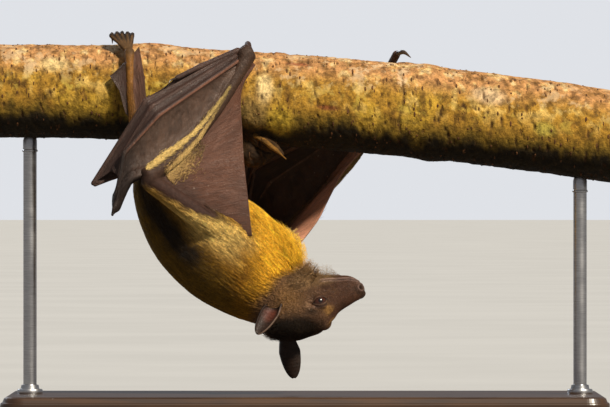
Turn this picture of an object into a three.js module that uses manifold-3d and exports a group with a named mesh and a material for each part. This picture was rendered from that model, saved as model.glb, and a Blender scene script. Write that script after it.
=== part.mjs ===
// A straw-coloured fruit bat hanging from a short length of branch, as a still, life-size museum model
// on a plain stand. Millimetres, +Z up. X runs along the branch and +Y away from the bat's left side,
// which faces -Y. The origin is under the middle of the stand's base.
import * as THREE from 'three';
import { mergeVertices } from 'three/addons/utils/BufferGeometryUtils.js';
import Module from 'manifold-3d';

const wasm = await Module();
wasm.setup();

const at = (x, y, z) => new THREE.Vector3(x, y, z);
const GAP = 0.3; // clear space left where two pieces meet
const UP = at(0, 0, 1);

// Perch: the cut length of branch, sagging a little towards +X.
const BRANCH_HALF = 200;
const BRANCH_RADIUS = 28.8;
const BRANCH_MID_HEIGHT = 187.4;
const BRANCH_SLOPE = -0.0735;
const BRANCH_SAG = -0.000215;
const BRANCH_SWELLINGS = [
  { x: -93, reach: 20, size: 2 },
  { x: 74, reach: 9, size: 1.4 },
];
const STUB = {
  points: [at(-36, -8, 172), at(-24, -13, 163), at(-14, -15, 156)],
  radii: [9, 6.5, 2.2],
  sides: 6,
};
const BURL = { points: [at(-39, -3, 166), at(-31, -5, 158), at(-24, -5, 159)], radii: [12, 11, 7], sides: 6 };
const BRANCH_MESH = { sides: 16, steps: 16 };
const branchHeight = (x) => BRANCH_MID_HEIGHT + BRANCH_SLOPE * x + BRANCH_SAG * x * x;

// Stand: a flat base and two rods up to the underside of the branch.
const BASE = { length: 360, width: 190, height: 12, corner: 14, cornerSteps: 5 };
const ROD = { radius: 4, reach: 165, sides: 14 };

// Trunk and neck: rings along the back from rump to neck, at one depth. `deep` is half the
// thickness from back to belly and `wide` half the breadth.
const BODY_DEPTH = -20;
const SPINE = [
  { x: -92, z: 153, deep: 10, wide: 11 }, // rump
  { x: -86, z: 141, deep: 19.5, wide: 19 }, // hips
  { x: -76, z: 126, deep: 26.5, wide: 26 }, // loins
  { x: -63, z: 110, deep: 31, wide: 30 }, // belly
  { x: -46.5, z: 97.5, deep: 33.5, wide: 32 }, // chest
  { x: -28, z: 83, deep: 29.5, wide: 27 }, // shoulders
  { x: -14.5, z: 73, deep: 23.5, wide: 21.5 }, // neck
  { x: -2, z: 68, deep: 19, wide: 18 }, // nape, inside the head
];
const RUMP = 5; // how far the rump bulges past its first ring
const TRUNK_SIDES = 18;
const TRUNK_CUT = { point: at(-28, 0, 82), normal: at(0.676, 0, -0.737) };
const NECK_CUT = { point: at(-18, 0, 70), normal: at(0.878, 0, -0.479) };

// Head: rings back from the nose tip. `rise` lifts the ring's centre towards the crown.
const NOSE = at(36.6, -21, 72);
const HEAD_PITCH = THREE.MathUtils.degToRad(12);
const HEAD_ROLL = THREE.MathUtils.degToRad(36);
const SKULL = [
  { back: 0.8, rise: -3.2, high: 3.2, wide: 3 }, // nose pad
  { back: 3.5, rise: -4.8, high: 6.2, wide: 5.4 },
  { back: 8, rise: -6.1, high: 8.8, wide: 7.4 }, // lips
  { back: 17, rise: -5.2, high: 11.6, wide: 9.4 }, // muzzle
  { back: 23, rise: -3.6, high: 14, wide: 11.8 },
  { back: 29, rise: -1.6, high: 17.2, wide: 14.4 }, // eyes
  { back: 37, rise: -0.6, high: 18.4, wide: 16.2 }, // brow
  { back: 46, rise: 0, high: 19, wide: 16.8 }, // crown
  { back: 55, rise: -1, high: 17.4, wide: 15.6 },
  { back: 63, rise: -3, high: 13, wide: 12 }, // back of the skull
];
const SKULL_BACK = { back: 66, rise: -4 };
const HEAD_SIDES = 14;
const EYE = { back: 28.5, side: 10.4, rise: 5.9, radius: 4.4 };
const EARS = {
  left: { back: 52.8, angle: 13, along: at(-12.2, -12, -19.4), open: at(-0.2, -0.95, 0.25) },
  right: { back: 52.5, angle: 33, along: at(4.6, 2, -22.5), open: at(0.45, 0.86, 0.1) },
};
const EAR = { length: 25, half: 6.6, thick: 1.1, curl: 1.15 };
const TAIL = { from: at(-92, -19, 154), to: at(-101, -18, 163), radius: 2.2 };

// Limbs, joint by joint. Left is the side towards -Y.
const LEGS = {
  left: {
    hip: at(-82, -27, 126),
    knee: at(-98.5, -46, 157),
    shin: at(-103.6, -36, 190),
    ankle: at(-104.4, -30.5, 207.6),
    sole: at(-104.8, -25.5, 216.5),
    knuckles: { y: -15.5, z: 225.5, lift: 1.8 },
    claws: { y: -6.5, z: 226.8, tip: 6.5 },
    toes: [-103.4, -106.4, -109.6, -112.7, -115.7],
  },
  right: {
    hip: at(-80, -6, 124),
    knee: at(-88, 43, 146),
    shin: at(-91, 39.5, 172),
    ankle: at(-92, 37, 193),
    sole: at(-92, 34, 203),
    knuckles: { y: 29.5, z: 213.5, lift: 1.2 },
    claws: { y: 23, z: 219, tip: 13 },
    toes: [-99, -95.9, -92.8, -89.7, -86.6],
  },
};
const LEG_RADII = { hip: 11, knee: 5, shin: 3, ankle: 2.8, foot: 3.4, toe: 1.25, claw: 1 };

const WINGS = {
  left: {
    shoulder: at(-40, -38, 103),
    elbow: at(-94.2, -74, 141.6),
    bow: [at(-73, -57, 157.5), at(-52, -40.5, 183.5)],
    wrist: at(-33.4, -24.5, 216.2),
    thumb: [at(-33.8, -16, 219.2), at(-34.2, -4, 221.8), at(-34.4, 7, 221.2)],
    thumbClaw: [at(-34.4, 9.6, 220.8), at(-34.6, 16, 219), at(-34.8, 21.5, 211)],
    fingers: {
      2: [at(-40, -27.5, 217.8), at(-62, -42, 208), at(-76, -55, 201)],
      3: [at(-41, -28, 217), at(-94.2, -63, 187.2), at(-125.6, -62, 138.2)],
      4: [at(-41.5, -30.5, 214), at(-90.6, -66, 183.6), at(-113.6, -66.5, 146.2)],
      5: [at(-41, -33, 211), at(-87, -69, 178.6), at(-107, -73, 156.2), at(-113.9, -73, 119.6)],
    },
    folds: {
      3: [at(-124.6, -62, 137.6), at(-112, -58, 142.4), at(-100, -56, 166), at(-92.5, -53.5, 190)],
      4: [at(-112.6, -65, 145.4), at(-106, -61, 152), at(-98, -60.5, 168), at(-93, -60, 180)],
    },
    fingerClaw: [at(-77, -56, 200.4), at(-79.4, -58.6, 199.6), at(-81, -60.4, 197.6)],
    leading: [at(-29.5, -24, 209), at(-37.6, -33.5, 195), at(-37.8, -36, 178), at(-36.4, -39, 151),
      at(-33.8, -44, 128), at(-31.5, -48, 107)],
    trailing: [at(-103.2, -74, 138.6), at(-112.2, -73.5, 122)],
    flank: [at(-99, -25.5, 220), at(-95.8, -37, 202), at(-94.4, -43, 186), at(-93, -56, 165),
      at(-86, -66, 138), at(-62, -60, 116)],
  },
  right: {
    shoulder: at(-15, -2, 100),
    elbow: at(-21, 64, 103),
    bow: [at(2, 55, 126), at(28, 46, 154)],
    wrist: at(45.4, 37, 184.6),
    thumb: [at(48, 32, 196.6), at(51.8, 21, 209.4), at(55, 7, 216)],
    thumbClaw: [at(56, 4.6, 216.6), at(59.4, 0, 217), at(63.4, -4, 213.8)],
    fingers: {
      2: [at(36.4, 39.9, 189.6), at(11, 45, 176.8), at(-5, 48, 169.2)],
      3: [at(35.8, 40.9, 185.4), at(-35, 50.5, 158), at(-54.6, 57, 104.2)],
      4: [at(36, 41.9, 181.4), at(-31, 53.5, 148), at(-46, 60, 107)],
      5: [at(36.8, 42.9, 177.4), at(-21, 57, 139), at(-37, 65.5, 114.5), at(-45.5, 68, 81.5)],
    },
    folds: {
      3: [at(-53.6, 56, 103.6), at(-45, 52, 109), at(-38, 49, 133), at(-33.5, 46.5, 159)],
      4: [at(-45, 58.6, 106.4), at(-40, 56, 112), at(-34, 54, 128), at(-31, 52.5, 144)],
    },
    fingerClaw: [at(-6, 48.3, 168.7), at(-8.6, 49, 167.5), at(-10.2, 49.6, 165.1)],
    leading: [at(42, 37, 178), at(34, 32, 158), at(25, 27, 149), at(12.5, 19, 126), at(8, 14, 117),
      at(-2, 8, 103)],
    trailing: [at(-31, 76, 100), at(-42.5, 69, 84)],
    flank: [at(-86, 29, 216), at(-82, 37, 196), at(-78, 43, 176), at(-66, 56, 150),
      at(-44, 70, 122), at(-30, 56, 104)],
  },
};
const ARM_RADII = { shoulder: 10, elbow: 6, wrist: 5.4, thumb: 1.9, claw: 1.1 };
const FOREARM_RADII = [6, 5, 4.5, 4.3, 4.6, 5.4]; // from the elbow to the wrist
const FINGER_RADII = [1.7, 1.55, 1.35, 0.8]; // from the wrist out
const FOLD_RADII = [1.35, 1.2, 1, 0.8]; // the last bone, folded back under the hand
const MEMBRANE = 1; // thickness of a wing or leg membrane, with its hair
const CALCARS = {
  left: [at(-106.5, -31, 211), at(-116.4, -31.5, 202.2), at(-110.6, -34, 193.5), at(-107, -38.5, 180)],
  right: [at(-95.5, 37.5, 198), at(-104, 39, 190), at(-100, 41, 178), at(-95, 43, 164)],
};

/** Joins loops of points into one closed surface, with a tip at each end. */
function skin(loops, firstTip, lastTip) {
  const sides = loops[0].length;
  const points = [firstTip, ...loops.flat(), lastTip];
  const faces = [];
  for (let i = 0; i < sides; i += 1) {
    const next = (i + 1) % sides;
    faces.push(0, 1 + next, 1 + i);
    for (let ring = 0; ring < loops.length - 1; ring += 1) {
      const near = 1 + ring * sides;
      const far = near + sides;
      faces.push(near + i, near + next, far + next, near + i, far + next, far + i);
    }
    const last = 1 + (loops.length - 1) * sides;
    faces.push(points.length - 1, last + i, last + next);
  }
  return toSolid(points, faces);
}

/** A manifold solid from points and faces, turned so that its faces point out. */
function toSolid(points, faces) {
  let volume = 0;
  for (let i = 0; i < faces.length; i += 3) {
    const [a, b, c] = [points[faces[i]], points[faces[i + 1]], points[faces[i + 2]]];
    volume += a.dot(b.clone().cross(c));
  }
  const ordered = volume < 0 ? faces.slice().reverse() : faces;
  const vertProperties = new Float32Array(points.flatMap((point) => point.toArray()));
  const triVerts = new Uint32Array(ordered);
  return new wasm.Manifold(new wasm.Mesh({ numProp: 3, vertProperties, triVerts }));
}

/** A manifold solid from a closed three.js geometry moved to a place. */
function fromGeometry(geometry, matrix = new THREE.Matrix4()) {
  const bare = geometry.clone().applyMatrix4(matrix);
  bare.deleteAttribute('normal');
  bare.deleteAttribute('uv');
  const merged = mergeVertices(bare);
  const place = merged.getAttribute('position');
  const pointAt = (_, i) => new THREE.Vector3().fromBufferAttribute(place, i);
  return toSolid(Array.from({ length: place.count }, pointAt), Array.from(merged.index.array));
}

/** One oval loop of a loft round a centre. */
function oval(centre, across, along, sides) {
  return Array.from({ length: sides }, (_, i) => {
    const turn = (i / sides) * Math.PI * 2;
    return centre.clone().addScaledVector(across, Math.cos(turn)).addScaledVector(along, Math.sin(turn));
  });
}

/** Smoothly passes through `values`, with `where` from 0 to 1. */
function blend(values, where) {
  const place = where * (values.length - 1);
  const first = Math.min(Math.floor(place), values.length - 2);
  const share = THREE.MathUtils.smoothstep(place - first, 0, 1);
  return THREE.MathUtils.lerp(values[first], values[first + 1], share);
}

/** A round loop square to `forward`. */
function ring(centre, forward, radius, sides) {
  const helper = Math.abs(forward.y) > 0.9 ? at(1, 0, 0) : at(0, 1, 0);
  const across = new THREE.Vector3().crossVectors(helper, forward).normalize();
  const up = new THREE.Vector3().crossVectors(forward, across);
  return oval(centre, across.multiplyScalar(radius), up.multiplyScalar(radius), sides);
}

/** A straight tapering limb with round ends, and a slim middle where `waist` is under 1. */
function bone(from, to, startRadius, endRadius, { sides = 8, waist = 0.86 } = {}) {
  return (grow) => {
    const [start, end] = [startRadius + grow, endRadius + grow];
    const forward = to.clone().sub(from).normalize();
    const past = (centre, distance) => centre.clone().addScaledVector(forward, distance);
    const middle = ((start + end) / 2) * waist;
    const loops = [
      ring(past(from, -0.7 * start), forward, 0.7 * start, sides),
      ring(from, forward, start, sides),
      ...(waist < 1 ? [ring(from.clone().lerp(to, 0.5), forward, middle, sides)] : []),
      ring(to, forward, end, sides),
      ring(past(to, 0.7 * end), forward, 0.7 * end, sides),
    ];
    return skin(loops, past(from, -start), past(to, end));
  };
}

/** A bent tapering rod through points, with one radius for each point. */
function rodThrough(points, radii, sides) {
  return (grow) => {
    const last = points.length - 1;
    const heading = (i) => points[Math.min(i + 1, last)].clone().sub(points[Math.max(i - 1, 0)]).normalize();
    const loops = points.map((point, i) => ring(point, heading(i), radii[i] + grow, sides));
    const firstTip = points[0].clone().addScaledVector(heading(0), -radii[0] - grow);
    return skin(loops, firstTip, points[last].clone().addScaledVector(heading(last), radii[last] + grow));
  };
}

/** An even plate over surface(s, t), s and t from 0 to 1, closed round its edge. */
function plate(surface, { rows = 8, columns = 3, thick = MEMBRANE } = {}) {
  return (grow) => {
    const half = thick / 2 + grow;
    const points = [];
    const step = 0.01;
    for (const side of [-1, 1]) {
      for (let row = 0; row <= rows; row += 1) {
        for (let column = 0; column <= columns; column += 1) {
          const s = row / rows;
          const t = column / columns;
          const middle = surface(s, t);
          const alongRow = surface(Math.min(s + step, 1), t).sub(surface(Math.max(s - step, 0), t));
          const alongColumn = surface(s, Math.min(t + step, 1)).sub(surface(s, Math.max(t - step, 0)));
          const normal = new THREE.Vector3().crossVectors(alongRow, alongColumn).normalize();
          if (row === 0 || row === rows) middle.addScaledVector(alongRow.normalize(), row ? grow : -grow);
          if (column === 0 || column === columns) {
            middle.addScaledVector(alongColumn.normalize(), column ? grow : -grow);
          }
          points.push(middle.addScaledVector(normal, side * half));
        }
      }
    }
    const stride = columns + 1;
    const layer = (rows + 1) * stride;
    const faces = [];
    const quad = (a, b, c, d) => faces.push(a, b, c, a, c, d);
    for (let row = 0; row < rows; row += 1) {
      for (let column = 0; column < columns; column += 1) {
        const a = row * stride + column;
        quad(a, a + 1, a + stride + 1, a + stride);
        quad(layer + a, layer + a + stride, layer + a + stride + 1, layer + a + 1);
      }
    }
    for (let row = 0; row < rows; row += 1) {
      const a = row * stride;
      const b = a + columns;
      quad(a, a + stride, layer + a + stride, layer + a);
      quad(b, layer + b, layer + b + stride, b + stride);
    }
    for (let column = 0; column < columns; column += 1) {
      const a = column;
      const b = rows * stride + column;
      quad(a, layer + a, layer + a + 1, a + 1);
      quad(b, b + 1, layer + b + 1, layer + b);
    }
    return toSolid(points, faces);
  };
}

/** A point along straight lines through `points`, with `where` from 0 to 1, evenly by point. */
function along(points, where) {
  const place = where * (points.length - 1);
  const first = Math.min(Math.floor(place), points.length - 2);
  return points[first].clone().lerp(points[first + 1], place - first);
}

/** A surface ruled between two lines, hollowed by `sag` along `direction` in the middle. */
function ruled(one, other, sag = 0, direction = at(0, 1, 0)) {
  return (s, t) => along(one, s).lerp(along(other, s), t)
    .addScaledVector(direction, sag * Math.sin(Math.PI * s) * Math.sin(Math.PI * t));
}

/** The half of space beyond a plane, as a large block. */
function beyond(point, normal) {
  const size = 600;
  const turn = new THREE.Quaternion().setFromUnitVectors(UP, normal);
  const centre = point.clone().addScaledVector(normal, size / 2);
  const matrix = new THREE.Matrix4().compose(centre, turn, at(1, 1, 1));
  return fromGeometry(new THREE.BoxGeometry(size, size, size), matrix);
}

/** The branch: upright loops along X, with its swellings, a burl below and a broken stub. */
function branch(grow) {
  const { sides, steps } = BRANCH_MESH;
  const loops = [];
  for (let i = 0; i <= steps; i += 1) {
    const x = THREE.MathUtils.lerp(-BRANCH_HALF, BRANCH_HALF, i / steps);
    const swell = BRANCH_SWELLINGS.reduce(
      (sum, knot) => sum + knot.size * Math.exp(-(((x - knot.x) / knot.reach) ** 2)), 0);
    const radius = BRANCH_RADIUS + grow;
    const centre = at(x, 0, branchHeight(x));
    loops.push(oval(centre, at(0, radius, 0), at(0, 0, radius + swell), sides));
  }
  const cut = (x) => at(x, 0, branchHeight(x));
  const wood = skin(loops, cut(-BRANCH_HALF), cut(BRANCH_HALF));
  return wood
    .add(rodThrough(BURL.points, BURL.radii, BURL.sides)(grow))
    .add(rodThrough(STUB.points, STUB.radii, STUB.sides)(grow));
}

/** The stand's base: a flat slab with round corners. */
function base() {
  const halfX = BASE.length / 2;
  const halfY = BASE.width / 2;
  const shape = new THREE.Shape();
  const corners = [[1, 1], [-1, 1], [-1, -1], [1, -1]];
  corners.forEach(([signX, signY], quarter) => {
    shape.absarc(signX * (halfX - BASE.corner), signY * (halfY - BASE.corner), BASE.corner,
      (quarter * Math.PI) / 2, ((quarter + 1) * Math.PI) / 2, false);
  });
  const slab = { depth: BASE.height, bevelEnabled: false, curveSegments: BASE.cornerSteps };
  return fromGeometry(new THREE.ExtrudeGeometry(shape, slab));
}

/** A rod from just over the base into the place of the branch, which then cuts it to length. */
function rod(x) {
  const low = BASE.height + GAP;
  const high = branchHeight(x);
  const turn = new THREE.Matrix4().makeRotationX(Math.PI / 2).setPosition(x, 0, (low + high) / 2);
  return fromGeometry(new THREE.CylinderGeometry(ROD.radius, ROD.radius, high - low, ROD.sides), turn);
}

/** The head's own axes: forward along the muzzle, left, and up through the crown. */
function headAxes() {
  const forward = at(Math.cos(HEAD_PITCH), 0, Math.sin(HEAD_PITCH));
  const level = at(0, -1, 0);
  const under = new THREE.Vector3().crossVectors(forward, level).normalize();
  const rolled = (one, other, sign) => one.clone().multiplyScalar(Math.cos(HEAD_ROLL))
    .addScaledVector(other, sign * Math.sin(HEAD_ROLL));
  return { forward, left: rolled(level, under, -1), crown: rolled(under, level, 1) };
}
const HEAD = headAxes();
const inHead = (back, side, rise) => NOSE.clone().addScaledVector(HEAD.forward, -back)
  .addScaledVector(HEAD.left, side).addScaledVector(HEAD.crown, rise);

/** A ring value of the head at a distance back from the nose. */
function skullAt(back, key) {
  const last = SKULL.findIndex((ring) => ring.back >= back);
  const [from, to] = [SKULL[Math.max(last - 1, 0)], SKULL[last]];
  const share = from === to ? 0 : (back - from.back) / (to.back - from.back);
  return THREE.MathUtils.lerp(from[key], to[key], share);
}

/** Head, neck and trunk as one solid, before it is parted. */
function wholeBody(grow) {
  const backbone = new THREE.CatmullRomCurve3(SPINE.map((ring) => at(ring.x, BODY_DEPTH, ring.z)));
  const sides = TRUNK_SIDES;
  const count = (SPINE.length - 1) * 2;
  const loops = [];
  for (let i = 0; i <= count; i += 1) {
    const forward = backbone.getTangent(i / count);
    const belly = new THREE.Vector3().crossVectors(at(0, 1, 0), forward).normalize();
    const deep = blend(SPINE.map((ring) => ring.deep), i / count) + grow;
    const wide = blend(SPINE.map((ring) => ring.wide), i / count) + grow;
    loops.push(oval(backbone.getPoint(i / count), at(0, wide, 0), belly.multiplyScalar(deep), sides));
  }
  const rump = backbone.getPoint(0).addScaledVector(backbone.getTangent(0), -RUMP - grow);
  const torso = skin(loops, rump, backbone.getPoint(1));
  const rings = SKULL.map(({ back, rise, high, wide }) => {
    const across = HEAD.left.clone().multiplyScalar(wide + grow);
    return oval(inHead(back, 0, rise), across, HEAD.crown.clone().multiplyScalar(high + grow), HEAD_SIDES);
  });
  const noseTip = inHead(-grow, 0, SKULL[0].rise);
  return torso.add(skin(rings, noseTip, inHead(SKULL_BACK.back + grow, 0, SKULL_BACK.rise)));
}

function trunk(grow) {
  const { point, normal } = TRUNK_CUT;
  return wholeBody(grow).subtract(beyond(point.clone().addScaledVector(normal, grow), normal));
}

function neck(grow) {
  const rear = TRUNK_CUT.point.clone().addScaledVector(TRUNK_CUT.normal, GAP - grow);
  const front = NECK_CUT.point.clone().addScaledVector(NECK_CUT.normal, grow);
  return wholeBody(grow).subtract(beyond(rear, TRUNK_CUT.normal.clone().negate()))
    .subtract(beyond(front, NECK_CUT.normal));
}

function head(grow) {
  const rear = NECK_CUT.point.clone().addScaledVector(NECK_CUT.normal, GAP - grow);
  return wholeBody(grow).subtract(beyond(rear, NECK_CUT.normal.clone().negate()));
}

function eye(side) {
  return (grow) => {
    const place = inHead(EYE.back, side * EYE.side, EYE.rise);
    const ball = new THREE.SphereGeometry(EYE.radius + grow, 10, 7);
    return fromGeometry(ball, new THREE.Matrix4().setPosition(place));
  };
}

/** An ear: a pointed leaf curled round its long axis, open towards `open`. */
function ear(side, pose) {
  const turn = THREE.MathUtils.degToRad(pose.angle);
  const root = inHead(pose.back, side * skullAt(pose.back, 'wide') * Math.cos(turn),
    skullAt(pose.back, 'rise') + skullAt(pose.back, 'high') * Math.sin(turn));
  const up = pose.along.clone().normalize();
  const facing = pose.open.clone().addScaledVector(up, -pose.open.dot(up)).normalize();
  const across = new THREE.Vector3().crossVectors(up, facing);
  const surface = (s, t) => {
    const rise = THREE.MathUtils.lerp(-4, EAR.length, s);
    const half = EAR.half * Math.sqrt(Math.max(1 - Math.max(s * 1.25 - 0.25, 0) ** 2.2, 0.006));
    const curl = EAR.curl * (1 - 0.45 * s);
    const round = (t * 2 - 1) * curl;
    return root.clone().addScaledVector(up, rise)
      .addScaledVector(across, (half * Math.sin(round)) / curl)
      .addScaledVector(facing, (-half * Math.cos(round)) / curl + half / curl - half * 0.35);
  };
  return plate(surface, { rows: 8, columns: 5, thick: EAR.thick });
}

/** A claw hooked through three points. */
const claw = (points, radius) => rodThrough(points, [radius, radius * 0.75, 0.35], 6);

/** Keeps the largest piece of a solid that a cut has divided. */
function largest(solid) {
  return solid.decompose().reduce((best, piece) => (piece.volume() > best.volume() ? piece : best));
}

const COLOURS = {
  bark: { color: 0xb08a4a, roughness: 0.95 },
  base: { color: 0x3b2618, roughness: 0.5 },
  rod: { color: 0x9a9a98, roughness: 0.35, metalness: 0.9 },
  coat: { color: 0xc79a3a, roughness: 0.95 },
  brown: { color: 0x6b4a2e, roughness: 0.9 },
  ear: { color: 0x4a3128, roughness: 0.7 },
  eye: { color: 0x4a1e10, roughness: 0.1 },
  skin: { color: 0x5a4238, roughness: 0.75 },
  horn: { color: 0x2a211d, roughness: 0.4 },
};
const MATERIALS = Object.fromEntries(Object.entries(COLOURS).map(
  ([key, look]) => [key, new THREE.MeshStandardMaterial({ metalness: 0, ...look })]));

const bat = new THREE.Group();
const placed = [];

/** Adds a piece, cut back by a thin gap from every piece placed before it. */
function place(name, material, build) {
  let solid = build(0);
  for (const other of placed) {
    if (!overlaps(solid, other.box)) continue;
    if (solid.intersect(other.grown).isEmpty()) continue;
    solid = largest(solid.subtract(other.grown));
  }
  const grown = build(GAP);
  placed.push({ grown, box: grown.boundingBox() });
  const { vertProperties, triVerts } = solid.getMesh();
  const geometry = new THREE.BufferGeometry();
  geometry.setAttribute('position', new THREE.BufferAttribute(vertProperties, 3));
  geometry.setIndex(new THREE.BufferAttribute(triVerts, 1));
  geometry.computeVertexNormals();
  const mesh = new THREE.Mesh(geometry, MATERIALS[material]);
  mesh.name = name;
  bat.add(mesh);
}

function overlaps(solid, box) {
  const own = solid.boundingBox();
  return [0, 1, 2].every((axis) => own.min[axis] < box.max[axis] && own.max[axis] > box.min[axis]);
}

place('perch_branch', 'bark', branch);
place('stand_base', 'base', base);
place('stand_rod_left', 'rod', () => rod(-ROD.reach));
place('stand_rod_right', 'rod', () => rod(ROD.reach));

place('eye_left', 'eye', eye(1));
place('eye_right', 'eye', eye(-1));
place('trunk', 'coat', trunk);
place('neck', 'coat', neck);
place('head', 'brown', head);
place('ear_left', 'ear', ear(1, EARS.left));
place('ear_right', 'ear', ear(-1, EARS.right));
place('tail', 'coat', bone(TAIL.from, TAIL.to, TAIL.radius + 0.8, TAIL.radius));

for (const [side, leg] of Object.entries(LEGS)) {
  const size = LEG_RADII;
  place(`thigh_${side}`, 'coat', bone(leg.hip, leg.knee, size.hip, size.knee, { sides: 12, waist: 0.95 }));
  place(`shank_${side}`, 'skin',
    rodThrough([leg.knee, leg.shin, leg.ankle], [size.knee, size.shin, size.ankle], 8));
  const toes = leg.toes.map((x, i) => {
    const lift = leg.knuckles.lift * Math.sin((Math.PI * (i + 1)) / (leg.toes.length + 1));
    const knuckle = at(x, leg.knuckles.y, leg.knuckles.z + lift);
    const root = leg.sole.clone().lerp(knuckle, 0.15);
    return { root, knuckle, end: at(x, leg.claws.y, leg.claws.z + lift) };
  });
  const toeRadii = [size.toe + 0.4, size.toe, size.toe];
  place(`foot_${side}`, 'skin', (grow) => toes
    .map(({ root, knuckle, end }) => rodThrough([root, knuckle, end], toeRadii, 6)(grow))
    .reduce((foot, toe) => foot.add(toe), bone(leg.ankle, leg.sole, size.ankle, size.foot)(grow)));
  const { tip: tipDepth, y: startDepth } = leg.claws;
  const back = Math.sign(tipDepth - startDepth);
  toes.forEach(({ end }, i) => {
    const bark = branchHeight(end.x) + Math.sqrt(BRANCH_RADIUS ** 2 - tipDepth ** 2);
    const tip = at(end.x, tipDepth, bark + size.claw + 0.4);
    const crest = end.clone().lerp(tip, 0.5).add(at(0, 0, 1.6));
    const start = end.clone().add(at(0, back * 1.8, -0.2));
    place(`claw_${side}_${i + 1}`, 'horn', claw([start, crest, tip], size.claw));
  });
}

/** Points along a bowed forearm, one for each of its radii. */
function forearmLine(wing) {
  return new THREE.CatmullRomCurve3([wing.elbow, ...wing.bow, wing.wrist]).getPoints(FOREARM_RADII.length - 1);
}

for (const [side, wing] of Object.entries(WINGS)) {
  const size = ARM_RADII;
  place(`upper_arm_${side}`, 'coat',
    bone(wing.shoulder, wing.elbow, size.shoulder, size.elbow, { sides: 12, waist: 0.95 }));
  place(`forearm_${side}`, 'skin', rodThrough(forearmLine(wing), FOREARM_RADII, 10));
  place(`thumb_${side}`, 'skin',
    rodThrough([wing.wrist, ...wing.thumb], [size.thumb + 0.8, size.thumb, size.thumb, size.thumb - 0.3], 6));
  place(`thumb_claw_${side}`, 'horn', claw(wing.thumbClaw, size.claw));
  for (const [number, joints] of Object.entries(wing.fingers)) {
    const finger = rodThrough(joints, FINGER_RADII, 6);
    const fold = wing.folds[number] && rodThrough(wing.folds[number], FOLD_RADII, 6);
    place(`finger_${side}_${number}`, 'skin', (grow) => (fold ? finger(grow).add(fold(grow)) : finger(grow)));
  }
  place(`finger_claw_${side}`, 'horn', claw(wing.fingerClaw, size.claw * 0.7));
}

for (const [side, wing] of Object.entries(WINGS)) {
  const leg = LEGS[side];
  const out = at(0, side === 'left' ? 1 : -1, 0);
  const upper = [wing.shoulder, wing.elbow];
  const lower = forearmLine(wing);
  const bones = [along(upper, 0.12), along(upper, 0.5), wing.elbow, along(lower, 0.44), along(lower, 0.92)];
  const front = new THREE.CatmullRomCurve3(wing.leading);
  const edge = [1, 0.78, 0.5, 0.25, 0].map((share) => front.getPoint(share));
  place(`fore_membrane_${side}`, 'skin', plate(ruled(bones, edge, 3, out)));
  const five = wing.fingers[5];
  const hand = [along(five, 0.06), along(five, 0.2), five[1], five[2], five[3]];
  const inner = [along(lower, 0.84), along(lower, 0.48), along(lower, 0.12), ...wing.trailing];
  place(`arm_membrane_${side}`, 'skin', plate(ruled(inner, hand, 4, out)));
  for (const number of [3, 4]) {
    const [near, next] = [wing.fingers[number], wing.fingers[number + 1]];
    const one = [near[0].clone().lerp(near[1], 0.2), near[1], near[2]];
    const other = [next[0].clone().lerp(next[1], 0.2), next[1], next[2]];
    if (number === 4) {
      other.push(along(five, 0.8));
      one.push(one[2].clone().lerp(other[3], 0.35));
    }
    place(`hand_membrane_${side}_${number}`, 'skin', plate(ruled(one, other), { rows: 6, columns: 1 }));
  }
  const limbLine = [leg.sole.clone().lerp(leg.ankle, 0.4), leg.ankle, leg.shin, leg.knee,
    leg.hip.clone().lerp(leg.knee, 0.5), leg.hip];
  place(`side_membrane_${side}`, 'skin', plate(ruled(limbLine, wing.flank), { rows: 10, columns: 2 }));
  const calf = [leg.ankle.clone().lerp(leg.sole, 0.3), leg.ankle.clone().lerp(leg.shin, 0.2),
    leg.shin, leg.shin.clone().lerp(leg.knee, 0.5)];
  place(`tail_membrane_${side}`, 'skin', plate(ruled(calf, CALCARS[side]), { rows: 6, columns: 2 }));
}

export default bat;
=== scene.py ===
"""Looks of a life-size straw-coloured fruit bat that hangs from a short cut branch on a plain stand.

Sizes are millimetres until a mesh is made, which is in metres. X runs along the branch, the bat's left side
faces -Y, and the origin is under the middle of the stand's base.
"""

from __future__ import annotations

import itertools
import logging
import math
from dataclasses import dataclass, field
from enum import Enum
from typing import Callable, Sequence

import bmesh
import bpy
import numpy as np
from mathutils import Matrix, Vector
from mathutils.bvhtree import BVHTree
from mathutils.kdtree import KDTree


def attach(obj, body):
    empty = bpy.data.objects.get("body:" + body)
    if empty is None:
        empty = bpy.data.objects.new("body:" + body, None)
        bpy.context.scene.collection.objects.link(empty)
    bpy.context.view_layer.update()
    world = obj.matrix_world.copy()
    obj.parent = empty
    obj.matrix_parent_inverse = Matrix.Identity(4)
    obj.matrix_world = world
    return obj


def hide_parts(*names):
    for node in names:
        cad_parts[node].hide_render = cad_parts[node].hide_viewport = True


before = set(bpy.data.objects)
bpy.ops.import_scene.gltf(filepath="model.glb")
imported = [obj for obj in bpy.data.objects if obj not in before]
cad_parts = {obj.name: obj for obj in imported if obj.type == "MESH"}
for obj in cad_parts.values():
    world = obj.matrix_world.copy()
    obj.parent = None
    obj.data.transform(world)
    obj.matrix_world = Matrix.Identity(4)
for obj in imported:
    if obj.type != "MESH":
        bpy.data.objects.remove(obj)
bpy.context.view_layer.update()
LOG = logging.getLogger("fruit_bat")
MM = 0.001
Array = np.ndarray
Triple = tuple[float, float, float]
Socket = bpy.types.NodeSocket
Material = bpy.types.Material
Piece = bpy.types.Object


class Side(Enum):
    """The bat's own two sides, with the sign of its left direction."""

    LEFT = 1
    RIGHT = -1

    @property
    def word(self) -> str:
        """The side's name as the nodes spell it."""
        return self.name.lower()


class Slot(Enum):
    """Material slots."""

    BARK = "bark"
    STAND_WOOD = "stand_wood"
    STAND_STEEL = "stand_steel"
    COAT = "coat"
    FACE_COAT = "face_coat"
    EAR_SKIN = "ear_skin"
    EYE = "eye"
    BARE_SKIN = "bare_skin"
    WING_SKIN = "wing_skin"
    CLAW = "claw"


# ---------------------------------------------------------------- numbers and curves


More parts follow.
